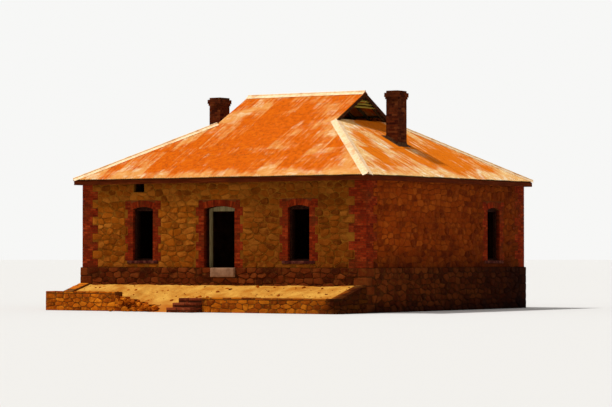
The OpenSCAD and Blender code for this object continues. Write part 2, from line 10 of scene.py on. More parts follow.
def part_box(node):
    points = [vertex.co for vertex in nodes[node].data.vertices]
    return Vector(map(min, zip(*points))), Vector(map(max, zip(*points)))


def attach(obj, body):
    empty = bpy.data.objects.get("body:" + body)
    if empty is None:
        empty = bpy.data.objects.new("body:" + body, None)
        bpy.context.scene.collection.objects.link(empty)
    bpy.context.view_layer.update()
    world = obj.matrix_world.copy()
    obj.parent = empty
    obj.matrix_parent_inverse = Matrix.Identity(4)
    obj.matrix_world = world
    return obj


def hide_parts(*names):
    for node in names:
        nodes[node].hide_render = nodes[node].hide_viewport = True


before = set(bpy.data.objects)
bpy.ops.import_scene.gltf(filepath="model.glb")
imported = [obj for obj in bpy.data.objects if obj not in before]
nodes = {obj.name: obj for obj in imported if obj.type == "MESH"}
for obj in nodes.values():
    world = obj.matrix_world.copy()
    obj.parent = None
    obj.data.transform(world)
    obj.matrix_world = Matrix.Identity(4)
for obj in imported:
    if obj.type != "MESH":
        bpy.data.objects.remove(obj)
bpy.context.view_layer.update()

# Plinth
# A base wall of dark field stone in lime mortar, carried up from the ground to the floor. It stands
# out a little beyond the wall above, and squared stones bond its corners.
UP = np.array([0.0, 0.0, 1.0])
side_names = ("front", "right", "back", "left")
corners = [(sx, sy) for sx in (-1, 1) for sy in (-1, 1)]
quoin_low, quoin_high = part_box("corner_quoins")
centre = np.array([(quoin_low.x + quoin_high.x) / 2, (quoin_low.y + quoin_high.y) / 2, 0.0])
half_w = (quoin_high.x - quoin_low.x) / 2
half_d = (quoin_high.y - quoin_low.y) / 2
floor_z = quoin_low.z
wall_top = quoin_high.z
plinth_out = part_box("plinth_right")[1].x - half_w


class Plane:
    """A face to lay things on: u runs along it, v up it, and w out of it."""

    def __init__(self, origin, along, half=0.0):
        self.origin = np.array(origin, float)
        self.along = np.array(along, float)
        self.out = np.cross(self.along, UP)
        self.half = half

    def at(self, points):
        uvw = np.array(points, float)
        return self.origin + uvw[:, :1] * self.along + uvw[:, 1:2] * UP + uvw[:, 2:] * self.out


def facing(side):
    """The directions along and out of side 0 front, 1 right, 2 back or 3 left."""
    turn = side * math.pi / 2
    along = np.array([math.cos(turn), math.sin(turn), 0.0])
    return along, np.cross(along, UP)


def house_side(side, beyond=0.0):
    """The outer face of a side, with u = 0 at its middle and half of its length."""
    along, out = facing(side)
    half, reach = ((half_w, half_d), (half_d, half_w))[side % 2]
    return Plane(centre + out * (reach + beyond), along, half + beyond)


class Pile:
    """Gathers the solids of many like pieces into one object, each with its own tint."""

    def __init__(self, seed):
        self.points = []
        self.faces = []
        self.tints = []
        self.chance = random.Random(seed)

    def add(self, points, faces, tint=None):
        start = len(self.points)
        self.points += map(tuple, points)
        self.faces += [tuple(start + i for i in face) for face in faces]
        tint = self.chance.random() if tint is None else tint
        self.tints += [tint] * len(faces)

    def make(self, name, finish, slot, replaced=(), smooth_angle=0.0):
        mesh = bpy.data.meshes.new(name)
        mesh.from_pydata(self.points, [], self.faces)
        mesh.attributes.new("tint", "FLOAT", "FACE").data.foreach_set("value", self.tints)
        mesh.materials.append(finish)
        if smooth_angle:
            mesh.shade_smooth()
            mesh.set_sharp_from_angle(angle=smooth_angle)
        piece = bpy.data.objects.new(name, mesh)
        bpy.context.scene.collection.objects.link(piece)
        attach(piece, "root")
        if replaced:
            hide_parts(*replaced)


def part_way(a, b, t):
    return (a[0] + t * (b[0] - a[0]), a[1] + t * (b[1] - a[1]))


def middle(outline):
    return (sum(p[0] for p in outline) / len(outline), sum(p[1] for p in outline) / len(outline))


def area(outline):
    return sum(a[0] * b[1] - b[0] * a[1] for a, b in zip(outline, outline[1:] + outline[:1])) / 2


def rectangle(left, right, low, high):
    return [(left, low), (right, low), (right, high), (left, high)]


def clip(outline, point, normal):
    """What is left of a convex outline behind a line, where normal points to the part cut off."""
    kept = []
    for a, b in zip(outline, outline[1:] + outline[:1]):
        from_a, from_b = [(p[0] - point[0]) * normal[0] + (p[1] - point[1]) * normal[1] for p in (a, b)]
        if from_a <= 0:
            kept.append(a)
        if from_a * from_b < 0:
            kept.append(part_way(a, b, from_a / (from_a - from_b)))
    return kept


# Stones are these shares of the usual length, and their middles wander by this share of a row
length_shares = (0.55, 1.5)
row_wander = 0.3
skipped = 0.06
hole_margin = 0.03
least_height = 0.035


def rubble(chance, domain, size, holes=(), joint=0.016, limits=()):
    """Outlines of rough stones that fit each other, in a domain u0, u1, v0, v1 with holes like it."""
    u0, u1, v0, v1 = domain
    length, height = size
    rows = max(1, round((v1 - v0) / height))
    seeds = []
    for row in range(rows):
        end = u0 - chance.uniform(0, length)
        while end < u1:
            step = length * chance.uniform(*length_shares)
            v = v0 + (row + 0.5 + chance.uniform(-row_wander, row_wander)) * (v1 - v0) / rows
            u = end + step / 2
            end += step
            m = hole_margin
            in_hole = any(a - m < u < b + m and c - m < v < d + m for a, b, c, d in holes)
            if u0 < u < u1 and not in_hole and chance.random() > skipped:
                seeds.append((u, v))
    outlines = []
    reach_u, reach_v = 1.1 * length, 1.2 * height
    for u, v in seeds:
        left, right = max(u0, u - reach_u), min(u1, u + reach_u)
        low, high = max(v0, v - reach_v), min(v1, v + reach_v)
        cell = rectangle(left, right, low, high)
        for other in seeds:
            off = (other[0] - u, other[1] - v)
            if other == (u, v) or abs(off[0]) >= 3 * length or abs(off[1]) >= 3 * height:
                continue
            normal = np.array([off[0] / length ** 2, off[1] / height ** 2])
            normal /= math.hypot(*normal)
            halfway = [(a + b) / 2 - n * joint / 2 for a, b, n in zip(other, (u, v), normal)]
            cell = clip(cell, halfway, normal)
        for a, b, c, d in holes:
            if a >= right or b <= left or c >= high or d <= low:
                continue
            # The stone keeps to the side of the hole from which its middle is farthest out
            sides = [
                ((a - u) / length, (a - joint, 0), (1, 0)), ((u - b) / length, (b + joint, 0), (-1, 0)),
                ((c - v) / height, (0, c - joint), (0, 1)), ((v - d) / height, (0, d + joint), (0, -1)),
            ]
            cell = clip(cell, *max(sides)[1:])
        for limit in limits:
            cell = clip(cell, *limit)
        if len(cell) > 2 and area(cell) > least_height * length:
            outlines.append(cell)
    return outlines


def worn_corners(outline, share=0.28, most=0.035):
    """Replaces each corner of an outline by two points, as weather has."""
    rounded = []
    for i, corner in enumerate(outline):
        for other in (outline[i - 1], outline[(i + 1) % len(outline)]):
            t = min(share, most / max(math.dist(corner, other), 1e-6))
            rounded.append(part_way(corner, other, t))
    return rounded


def lofted(count, rings, domed=True):
    """Faces of a solid of rings with this many points each, and of one last point if it is domed."""
    faces = [tuple(reversed(range(count)))]
    last = (rings - 1) * count
    for i in range(count):
        j = (i + 1) % count
        faces += [(ring + i, ring + j, ring + count + j, ring + count + i) for ring in range(0, last, count)]
        if domed:
            faces.append((last + i, last + j, last + count))
    return faces if domed else faces + [tuple(range(last, last + count))]


stone_sunk = 0.03


def lay_stone(pile, plane, outline, proud):
    """A rough-faced stone: its sides start inside the joint, and its face is dressed to a low dome."""
    chance = pile.chance
    rim = worn_corners(outline)
    mid = middle(rim)
    lean = (chance.uniform(-0.12, 0.12), chance.uniform(-0.16, 0.06))
    points = []
    for shrink, level, leaning in ((1.0, None, 0), (0.97, 0.25, 0), (0.8, 0.9, 1)):
        for p in rim:
            off = (p[0] - mid[0], p[1] - mid[1])
            w = -stone_sunk if level is None else proud * level * chance.uniform(0.8, 1.1)
            w += leaning * (off[0] * lean[0] + off[1] * lean[1])
            points.append((mid[0] + off[0] * shrink, mid[1] + off[1] * shrink, w))
    points.append((*mid, proud * chance.uniform(0.9, 1.25)))
    pile.add(plane.at(points), lofted(len(rim), 3))


def lay_rubble(pile, plane, domain, size, proud, **how):
    """Rough stones over part of a face, which stand out from the least to the most of proud."""
    for outline in rubble(pile.chance, domain, size, **how):
        lay_stone(pile, plane, outline, pile.chance.uniform(*proud))


def colour(code):
    """A colour as it is written, such as #a07020, turned to linear light for a shader."""
    channels = [int(code[i:i + 2], 16) / 255 for i in (1, 3, 5)]
    return (*[c / 12.92 if c <= 0.04045 else ((c + 0.055) / 1.055) ** 2.4 for c in channels], 1.0)


# Old masonry, timber and rust are nearly without gloss
gloss = 0.03


class Finish:
    """A material in the making: each call adds a node and gives its result."""

    def __init__(self, name, roughness, metallic=0.0):
        self.material = bpy.data.materials.new(name)
        self.material.use_nodes = True
        self.tree = self.material.node_tree
        self.shader = self.tree.nodes["Principled BSDF"]
        surface = {"Roughness": roughness, "Metallic": metallic, "Specular IOR Level": gloss}
        for socket, value in surface.items():
            self.shader.inputs[socket].default_value = value
        self.place = self.add("TexCoord", {}).outputs["Object"]

    def feed(self, socket, value):
        """Gives a socket a number, a colour code or the result of a node."""
        if isinstance(value, bpy.types.NodeSocket):
            self.tree.links.new(value, socket)
        else:
            socket.default_value = colour(value) if isinstance(value, str) else value

    def add(self, kind, fed, **settings):
        made = self.tree.nodes.new("ShaderNode" + kind)
        for name, value in settings.items():
            setattr(made, name, value)
        for socket, value in fed.items():
            self.feed(made.inputs[socket], value)
        return made

    def spots(self, size, detail=4.0, roughness=0.6):
        """Cloudy noise from 0 to 1 whose features have this size along x, y and z, in metres."""
        sizes = size if isinstance(size, tuple) else (size, size, size)
        scaled = self.add("Mapping", {"Vector": self.place, "Scale": [1 / s for s in sizes]}).outputs[0]
        cloud = {"Vector": scaled, "Scale": 1.0, "Detail": detail, "Roughness": roughness}
        return self.add("TexNoise", cloud).outputs["Fac"]

    def tint(self):
        """The tint that each solid of a pile was given."""
        return self.add("Attribute", {}, attribute_name="tint").outputs["Fac"]

    def axis(self, name):
        return self.add("SeparateXYZ", {0: self.place}).outputs[name]

    def fade(self, value, low, high, to_low=0.0, to_high=1.0):
        fed = dict(enumerate((value, low, high, to_low, to_high)))
        return self.add("MapRange", fed).outputs["Result"]

    def reckon(self, operation, first, second=0.0):
        return self.add("Math", {0: first, 1: second}, operation=operation).outputs[0]

    def sum(self, first, second):
        return self.reckon("ADD", first, second)

    def less(self, first, second):
        return self.reckon("SUBTRACT", first, second)

    def times(self, first, second):
        return self.reckon("MULTIPLY", first, second)

    def mix(self, share, first, second):
        return self.add("Mix", {0: share, 6: first, 7: second}, data_type="RGBA").outputs[2]

    def shades(self, value, codes):
        """A run of colours as a value goes from 0 to 1."""
        ramp = self.add("ValToRGB", {0: value})
        stops = ramp.color_ramp.elements
        while len(stops) < len(codes):
            stops.new(0.5)
        for i, code in enumerate(codes):
            stops[i].position = i / (len(codes) - 1)
            stops[i].color = colour(code)
        return ramp.outputs["Color"]

    def own_shade(self, codes, size, swing):
        """A shade for each solid of a pile, which wanders over it by this swing."""
        wander = self.fade(self.spots(size), 0.3, 0.7, -swing, swing)
        return self.shades(self.sum(self.tint(), wander), codes)

    def bump(self, height, depth):
        """Adds relief of this depth, in metres, to what is there already."""
        made = self.add("Bump", {"Distance": depth, "Height": height})
        normal = self.shader.inputs["Normal"]
        if normal.links:
            self.feed(made.inputs["Normal"], normal.links[0].from_socket)
        self.feed(normal, made.outputs["Normal"])

    def finished(self, paint, stains=(), grains=(), weather=()):
        """The material, with its paint, stains over it, weather over those, and relief.

        A stain is its colour, the size and detail of its spots, where in them it sets in and is full,
        and its most. Weather, which also carries painted shade, is a function for its share, its colour,
        and what the function takes. A grain is its depth and its spots.
        """
        for stain, size, detail, low, high, most in stains:
            paint = self.mix(self.fade(self.spots(size, detail), low, high, 0, most), paint, stain)
        for share, stain, *settings in weather:
            paint = self.mix(share(self, *settings), paint, stain)
        for depth, *spots in grains:
            self.bump(self.spots(*spots), depth)
        self.feed(self.shader.inputs["Base Color"], paint)
        return self.material


def stone_finish(name, codes, dust, dark, weather=()):
    """Split field stone: a shade for each stone, dark stains, patches of dust, a gritty grain."""
    made = Finish(name, 0.93)
    stains = [(dark, 0.9, 6, 0.5, 0.72, 0.55), (dust, 0.12, 6, 0.52, 0.75, 0.6)]
    grains = [(0.012, 0.05, 8, 0.7), (0.002, 0.008)]
    return made.finished(made.own_shade(codes, 0.3, 0.15), stains, grains, weather)


def creeping(made, axis, low, high, size, swing, most):
    """The share of a darkening that grows along an axis from low to high, where spots shift its edge. It
    serves stains and painted shade.
    """
    shift = made.times(made.less(made.spots(size, 6), 0.5), swing)
    return made.fade(made.sum(made.axis(axis), shift), low, high, 0, most)


def creeping_on_end(made, *edge):
    """The same share, on the right end alone."""
    on_end = made.fade(made.axis("X"), half_w - 0.05, half_w + 0.02)
    return made.times(on_end, creeping(made, *edge))


# Painted shade grows towards the back of the right end, and the right end darkens at its foot, partly damp
# rising from the ground and partly painted shade
to_back = ("Y", centre[1] - 4.0, centre[1] + 5.0, 0.8, 1.0)
plinth_shade_and_damp = [
    (creeping_on_end, "#120402", *to_back, 0.88), (creeping_on_end, "#060101", "Z", 0.5, -0.05, 0.5, 0.5, 0.9)
]
plinth_finish = stone_finish(
    "plinth_stone", ["#401704", "#5c2207", "#6d2d0c", "#793812", "#4e1b04"], "#784718", "#2d0f04",
    plinth_shade_and_damp
)
plinth_stone = (0.36, 0.2)
block_h = 0.3
block_long = 0.52
block_short = 0.34
block_joint = 0.006
block_proud = 0.018
block_tuck = 0.01
doorstep_low, doorstep_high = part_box("doorsteps")
doorstep_w = 1.0
doorstep_hole = (doorstep_high.x - doorstep_w, doorstep_high.x, doorstep_low.z, floor_z + 1)


def worn_block(pile, low, high, edge, rough, pitch=0.12):
    """A squared block with rounded, uneven arrises, on a net of about this pitch."""
    low = np.array(low, float)
    half = (np.array(high, float) - low) / 2
    mid = low + half
    edge = min(edge, *(half * 0.45))
    lines = []
    for h in half:
        inner = max(1, round(2 * (h - edge) / pitch))
        lines.append([-h, *[-h + edge + 2 * (h - edge) * i / inner for i in range(inner + 1)], h])
    seed = Vector([pile.chance.uniform(0, 50) for _ in range(3)])
    index = {}
    points = []

    def corner(key):
        if key not in index:
            p = np.array([line[k] for line, k in zip(lines, key)])
            core = np.clip(p, -half + edge, half - edge)
            away = p - core
            p = core + away / max(np.linalg.norm(away), 1e-9) * edge
            p *= 1 - rough / half * (0.5 + 0.5 * noise.noise(Vector(p * 7) + seed))
            index[key] = len(points)
            points.append(mid + p)
        return index[key]

    faces = []
    for axis in range(3):
        a, b = (axis + 1) % 3, (axis + 2) % 3
        for end in (0, len(lines[axis]) - 1):
            for i in range(len(lines[a]) - 1):
                for j in range(len(lines[b]) - 1):
                    quad = []
                    for at_a, at_b in rectangle(i, i + 1, j, j + 1):
                        key = [end, end, end]
                        key[a], key[b] = at_a, at_b
                        quad.append(corner(tuple(key)))
                    faces.append(tuple(quad if end else reversed(quad)))
    pile.add(points, faces)


def end_holes(half, reach, low, high):
    """Room for the blocks at both ends of a face."""
    return [(-half - 1, -half + reach, low, high), (half - reach, half + 1, low, high)]


def bonded(row):
    """The length of a corner block, which is long and short by turns."""
    return block_long if row % 2 else block_short


# On the front, the stones start a little under the top of the terrace's fill
under_fill = 0.12
front_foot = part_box("terrace_fill")[1].z - under_fill
plinth_stones = Pile(11)
block_rows = range(round(floor_z / block_h))
for side, foot in enumerate((front_foot, 0.0, 0.0, 0.0)):
    plane = house_side(side, plinth_out)
    holes = [doorstep_hole] if side % 2 == 0 else []
    for row in block_rows:
        holes += end_holes(plane.half, bonded(row + side), row * block_h, (row + 1) * block_h)
    domain = (-plane.half, plane.half, foot, floor_z)
    lay_rubble(plinth_stones, plane, domain, plinth_stone, (0.012, 0.034), holes=holes)
for corner in corners:
    outer = centre[:2] + np.array(corner) * (np.array([half_w, half_d]) + plinth_out + block_proud)
    for row in block_rows:
        # The long faces of these stones swap sides from row to row, and match the holes above
        lengths = np.array([bonded(row), bonded(row + 1)]) + block_proud - block_tuck
        inner = outer - np.array(corner) * lengths
        low = (*np.minimum(outer, inner), row * block_h + block_joint)
        high = (*np.maximum(outer, inner), (row + 1) * block_h - block_joint)
        worn_block(plinth_stones, low, high, edge=0.03, rough=0.012)
plinth_stones.make("plinth_stones", plinth_finish, "plinth_stone")


def dress(finish, *names):
    """Gives CAD nodes whose shape is right their finish."""
    for name in names:
        for place in nodes[name].material_slots:
            place.material = finish


def mortar_finish(name, lime, earth, damp, weather=()):
    """Lime mortar with earth in it: sandy, with patches that hold more earth or damp."""
    stains = [(earth, 0.35, 6, 0.38, 0.66, 1.0), (damp, 1.6, 5, 0.5, 0.75, 0.7)]
    return Finish(name, 0.96).finished(lime, stains, [(0.008, 0.03, 7, 0.7)], weather)


plinth_mortar = mortar_finish("plinth_mortar", "#53290c", "#3b1905", "#260e04", plinth_shade_and_damp)
dress(plinth_mortar, *["plinth_" + name for name in side_names], "sleeper_walls")

# Floor
# Tongued boards, 140 mm wide, nailed across the joists, which bear on the plinth's ledge and the
# sleeper walls. The boards have shrunk and lie unevenly, and two near the door have rotted away.
floor_low, floor_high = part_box("floor_boards")
board_w = 0.14
board_gap = 0.004
board_end_gap = 0.003
lost_boards = (3, 4)
# The boards of a row meet at two joints, which shift from row to row
joints = (-1.8, 1.5)
joint_shift = 0.9
stack_low, stack_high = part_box("chimney_right")
stack_x = (stack_low.x + stack_high.x) / 2
breast_half_w = (stack_high.x - stack_low.x) / 2
breast_gap = 0.02


def timber_finish(name, codes, grain):
    """Weathered softwood: grain that runs with the longest size of its spots, and darker patches."""
    made = Finish(name, 0.85)
    fibres = made.spots(grain, 7, 0.65)
    made.bump(fibres, 0.004)
    paint = made.shades(made.fade(fibres, 0.28, 0.72), codes)
    return made.finished(paint, [(codes[0], 0.5, 4, 0.45, 0.75, 0.5)])


boards = Pile(12)
for row in range(int((floor_high.y - floor_low.y) / board_w)):
    y = floor_low.y + row * board_w
    shifts = (joint_shift * (row % 3), joint_shift * (row % 2))
    ends = [floor_low.x, joints[0] + shifts[0], joints[1] + shifts[1], floor_high.x]
    if y + board_w > stack_low.y - breast_gap and y < stack_high.y + breast_gap:
        ends[0] = -stack_x + breast_half_w + breast_gap
        ends[-1] = stack_x - breast_half_w - breast_gap
    for first, last in zip(ends, ends[1:]):
        if row in lost_boards and first < 0 < last:
            continue
        drop = boards.chance.uniform(0.0, 0.003)
        low = (first, y, floor_low.z - drop)
        high = (last - board_end_gap, y + board_w - board_gap, floor_high.z - drop)
        worn_block(boards, low, high, edge=0.002, rough=0.001, pitch=1.2)
board_finish = timber_finish("floor_timber", ["#3a2814", "#5c4424", "#7a6038"], (0.9, 0.03, 0.03))
boards.make("floor_planks", board_finish, "floor_timber", ["floor_boards"])
dress(timber_finish("joist_timber", ["#32200e", "#4e381c", "#6a5030"], (0.03, 0.9, 0.03)), "floor_joists")

# Walls
# Random rubble in two skins, 450 mm thick, of ochre and brown field stone bedded in lime mortar.
# The faces are left rough outside. Inside they are flush, and darkened by painted shade.


def eave_shadow_and_darkening(made, most):
    """The share of darkening on the front: painted shadow under its eave, and darker at its foot and towards
    its right end.
    """
    under_eave = creeping(made, "Z", wall_top - 0.9, wall_top - 0.1, 0.6, 1.0, most)
    at_foot = creeping(made, "Z", floor_z + 0.7, floor_z - 0.1, 0.6, 1.0, most / 2)
    right = creeping(made, "X", -1.0, 2.0, 0.6, 3.0, most)
    return made.reckon("MAXIMUM", made.reckon("MAXIMUM", under_eave, at_foot), right)


def from_edges(made, *halves):
    """How far a place lies in from the ends of a plan, and from its front or back."""
    inward = []
    for axis, mid, half in zip("XY", centre, halves):
        off = made.reckon("ABSOLUTE", made.less(made.axis(axis), mid))
        inward.append(made.less(half, off))
    return inward


def painted_recess_shade(made, most):
    """The share of painted shade on what lies deeper than the outer faces of the walls."""
    return made.fade(made.reckon("MINIMUM", *from_edges(made, half_w, half_d)), 0.03, 0.2, 0, most)


# Near-black painted shade in the reveals and on the inner faces of the walls
painted_reveal_shade = [(painted_recess_shade, "#100603", 0.9)]
# The right end wall gets the same painted shade towards its back, and darkens at its foot, partly damp and
# partly painted shade
end_wall_shade_and_damp = [
    (creeping_on_end, "#170803", *to_back, 0.5),
    (creeping_on_end, "#1c0300", "Z", floor_z + 0.9, floor_z - 0.05, 0.5, 0.9, 0.7),
]
# The long walls' stone carries painted shadow under the front's eave
long_wall_finish = stone_finish(
    "rubble_stone", ["#6e3504", "#8e4705", "#a0520c", "#924907", "#b0661c", "#7e3c05"], "#b86d21", "#6c2e05",
    [(eave_shadow_and_darkening, "#3c0e02", 0.45)]
)
# The end walls' stone is redder and darker than the long walls', which is painted shade
end_wall_finish = stone_finish(
    "rubble_stone_ends", ["#6a2403", "#883204", "#9b3f07", "#8e3605", "#aa4d0f", "#762b04"], "#aa5113",
    "#571b02", end_wall_shade_and_damp
)
wall_stone = (0.34, 0.19)
wall_t = 0.45
quoin_tooth = 0.24
jamb_short = 0.23
jamb_long = 0.345
arch_depth = 0.23
arch_rise = 0.08
sill_h = 0.11
window_w = 0.88
window_h = 1.89
window_sill = floor_z + 0.24
door_w = 1.3
door_h = 2.12
front_window_u = 3.3
back_window_u = 2.6
end_window_u = 3.15
hole_w = 0.48
hole_h = 0.45
hole_left = -front_window_u - 0.42

# Openings of each side: centre along the wall, sill height, clear width, height at the crown
window = (window_sill, window_w, window_h)
door = (floor_z, door_w, door_h)
openings = (
    [(0.0, *door), (-front_window_u, *window), (front_window_u, *window)],
    [(end_window_u, *window)],
    [(0.0, *door), (-back_window_u, *window), (back_window_u, *window)],
    [(-end_window_u, *window)],
)


def toothed(base, top, first, second):
    """Levels and reaches of blocks of four courses that end long and short by turns."""
    level = base
    while level < top - 0.001:
        yield level, min(level + block_h, top), first
        level += block_h
        first, second = second, first


def corner_blocks(side):
    reaches = (wall_t + quoin_tooth, wall_t)
    return toothed(floor_z, wall_top, *(reversed(reaches) if side % 2 else reaches))


def jamb_blocks(sill, w, h):
    return toothed(sill, sill + h + arch_depth, w / 2 + jamb_long, w / 2 + jamb_short)


for side, name in enumerate(side_names):
    plane = house_side(side)
    holes = [] if side else [(hole_left, hole_left + hole_w, wall_top - hole_h, wall_top)]
    for low, high, reach in corner_blocks(side):
        holes += end_holes(plane.half, reach, low, high)
    for u, sill, w, h in openings[side]:
        holes += [(u - reach, u + reach, low, high) for low, high, reach in jamb_blocks(sill, w, h)]
        if sill > floor_z:
            holes.append((u - w / 2 - jamb_short, u + w / 2 + jamb_short, sill - sill_h, sill))
    pile = Pile(20 + side)
    domain = (-plane.half, plane.half, floor_z, wall_top)
    lay_rubble(pile, plane, domain, wall_stone, (0.01, 0.032), holes=holes)
    pile.make(name + "_wall_stones", (long_wall_finish, end_wall_finish)[side % 2], "rubble_stone")
wall_mortar = mortar_finish("wall_mortar", "#8d5516", "#72400a", "#562c06", painted_reveal_shade)
for side in ("front", "back"):
    dress(wall_mortar, side + "_wall_left", side + "_wall_right", side + "_wall_over_door")
end_mortar_shade_and_damp = end_wall_shade_and_damp + painted_reveal_shade
# Redder and darker than the long walls' mortar, which is painted shade
end_wall_mortar = mortar_finish("end_wall_mortar", "#8a3b0b", "#6d2a06", "#4f1a03", end_mortar_shade_and_damp)
dress(end_wall_mortar, "left_wall", "right_wall")

# Brick dressings
# Hand-made red bricks, 230 by 110 by 65 mm, in blocks of four courses toothed into the rubble at
# the corners and beside the openings, with a segmental arch of bricks on end over each opening.
brick_l = 0.23
brick_w = 0.11
course_h = 0.075
bed = 0.01
brick_proud = 0.006
brick_sunk = 0.02
brick_arris = 0.004
least_brick = 0.06
least_rest = 0.02
least_face = 0.001
reveal_proud = 0.003
window_frame_in = 0.14
door_frame_in = 0.32
arch_brick = (0.06, 0.94)


def brick_finish(name, codes, soot, weather=()):
    """Soft red brick: a shade for each brick, pitted, with worn and sooty patches."""
    made = Finish(name, 0.9)
    paint = made.own_shade(codes, 0.25, 0.2)
    return made.finished(paint, [(soot, 0.7, 5, 0.48, 0.72, 0.8)], [(0.004, 0.012, 6, 0.7)], weather)


def lay_block(pile, plane, outline, proud=brick_proud):
    """A brick on a convex outline, from inside its joint out to a face with worn arrises."""
    mid = middle(outline)
    proud += pile.chance.uniform(-0.002, 0.002)
    points = [(*p, w) for w in (-brick_sunk, proud - brick_arris) for p in outline]
    for p in outline:
        inset = brick_arris / max(math.dist(mid, p), brick_arris)
        points.append((*part_way(mid, p, 1 - inset), proud))
    pile.add(plane.at(points), lofted(len(outline), 3, domed=False))


def course(length, header_first):
    """Where the bricks of one course start and end, from its arris. The last takes up what is left."""
    start = 0.0
    step = brick_w if header_first else brick_l
    while start < length - least_rest:
        end = start + step
        if length - end < least_brick:
            end = length
        yield start, end
        start = end + bed
        step = brick_l


def lay_courses(
    pile, plane, arris_u, direction, length, low, high, header_first, cuts=(), lost=0.0, proud=brick_proud
):
    """Brick courses from an arris along +u or -u, each starting with a header or a stretcher by turns."""
    for row in range(round((high - low) / course_h)):
        v = low + row * course_h
        for a, b in course(length, (row % 2 == 0) == header_first):
            if lost and pile.chance.random() < lost:
                continue
            left, right = sorted((arris_u + direction * a, arris_u + direction * b))
            outline = rectangle(left, right, v, v + course_h - bed)
            for cut in cuts:
                outline = clip(outline, *cut)
            if len(outline) > 2 and area(outline) > least_face:
                lay_block(pile, plane, outline, proud)


def lay_arch(pile, plane, u, crown, w):
    """A ring of bricks on end, radial to the soffit. Gives its two ends, each with its place and slope."""
    radius = (w * w / 4 + arch_rise ** 2) / (2 * arch_rise)
    mid_v = crown - radius
    spread = math.asin(w / 2 / radius)
    count = 2 * round(spread * radius / course_h) + 1

    def on_ring(r, turn):
        return (u + r * math.sin(turn), mid_v + r * math.cos(turn))

    for i in range(count):
        first, last = [(2 * (i + part) / count - 1) * spread for part in arch_brick]
        outer = radius + arch_depth - bed
        outline = [(radius, first), (radius, last), (outer, last), (outer, first)]
        lay_block(pile, plane, [on_ring(*corner) for corner in outline])
    slope = (math.cos(spread), math.sin(spread))
    return [(end, on_ring(radius, end * spread), (-end * slope[0], slope[1])) for end in (-1, 1)]


quoin_bricks = Pile(31)
opening_bricks = Pile(32)
for side in range(4):
    plane = house_side(side)
    past = 0.0 if side % 2 else brick_proud
    for low, high, reach in corner_blocks(side):
        for end in (-1, 1):
            arris_u = end * (plane.half + past)
            lay_courses(quoin_bricks, plane, arris_u, -end, reach + past, low, high, side % 2 == 1)
    for u, sill, w, h in openings[side]:
        crown = sill + h
        springs = lay_arch(opening_bricks, plane, u, crown, w)
        for low, high, reach in jamb_blocks(sill, w, h):
            width = reach - w / 2
            header_first = width > (jamb_short + jamb_long) / 2
            for end, *skew in springs:
                # Bricks beside the arch are cut to the slope of its first joint
                cuts = [skew] if high > crown - arch_rise else []
                arris_u = u + end * w / 2
                lay_courses(opening_bricks, plane, arris_u, end, width, low, high, header_first, cuts)
        depth = window_frame_in if sill > floor_z else door_frame_in
        for end in (-1, 1):
            reveal = Plane(plane.at([(u + end * w / 2, 0, 0)])[0], plane.out * end)
            top = crown - arch_rise
            lay_courses(opening_bricks, reveal, 0.0, -end, depth, sill, top, True, proud=reveal_proud)
brick_paint = ["#5c1405", "#781f06", "#8e2a0b", "#661805", "#9b3712"]
quoin_finish = brick_finish("brick", brick_paint, "#542a0c", painted_reveal_shade)
quoin_bricks.make("quoin_bricks", quoin_finish, "brick")
opening_bricks.make("opening_bricks", quoin_finish, "brick")
brick_mortar = mortar_finish("brick_mortar", "#743c1a", "#59260c", "#421706", painted_reveal_shade)
dress(brick_mortar, "corner_quoins", "door_surrounds", "window_surrounds")

# Sills and doorsteps
# Slabs of dressed sandstone. The sills are painted a dark red that has weathered to purple-brown.
# The doorsteps are bare and pale, with worn arrises.
sill_out = 0.045
sill_gap = 0.002
sills = Pile(41)
for side in range(4):
    for u, sill, w, _ in openings[side]:
        if sill > floor_z:
            reach = w / 2 + jamb_short - sill_gap
            ends = house_side(side).at([(u - reach, sill - sill_h, sill_out), (u + reach, sill, -wall_t)])
            worn_block(sills, ends.min(axis=0), ends.max(axis=0), edge=0.012, rough=0.004, pitch=0.15)
sill_finish = Finish("sill_stone", 0.8).finished(
    "#3c1410", [("#6a3828", 0.12, 7, 0.42, 0.62, 1.0)], [(0.003, 0.02, 6)]
)
sills.make("sill_slabs", sill_finish, "dressed_stone", ["window_sills"], 0.6)

doorstep_d = 0.61
doorstep_slabs = Pile(42)
for x, y in ((doorstep_high.x - doorstep_w, doorstep_low.y), (doorstep_low.x, doorstep_high.y - doorstep_d)):
    low = (x, y, doorstep_low.z)
    high = (x + doorstep_w, y + doorstep_d, doorstep_high.z)
    worn_block(doorstep_slabs, low, high, edge=0.025, rough=0.01, pitch=0.08)
doorstep_finish = Finish("doorstep_stone", 0.85).finished(
    "#a2795b", [("#815c43", 0.2, 7, 0.4, 0.7, 1.0)], [(0.004, 0.03, 7)]
)
doorstep_slabs.make("doorstep_slabs", doorstep_finish, "dressed_stone", ["doorsteps"], 0.6)

# Frames
# Softwood frames spiked into the jambs. The window frames keep flakes of dark red paint, and the
# door frames have weathered to bare olive grey. Sashes and doors are gone.
frame_paint = Finish("window_frame_paint", 0.7)
flakes = frame_paint.fade(frame_paint.spots(0.06, 8, 0.7), 0.46, 0.56)
frame_paint.bump(flakes, 0.001)
dress(frame_paint.finished(frame_paint.mix(flakes, "#240a06", "#341c0e")), "window_frames")
dress(timber_finish("door_frame_timber", ["#5e5236", "#8c7c54", "#b0a078"], (0.03, 0.03, 0.7)), "door_frames")

# Roof timbers
# Sawn softwood: plates on the walls, tie beams, rafters cut to the hips, and battens for the sheets.
# They have darkened with dust and age.
roof_timber = timber_finish("roof_timber", ["#3c2a16", "#5a4226", "#7a5e38"], (0.08, 0.08, 0.5))
dress(
    roof_timber, "wall_plates", "tie_beams", "ridge_board", "hip_rafters", "main_rafters", "end_rafters",
    "roof_battens", "gablet_collars"
)

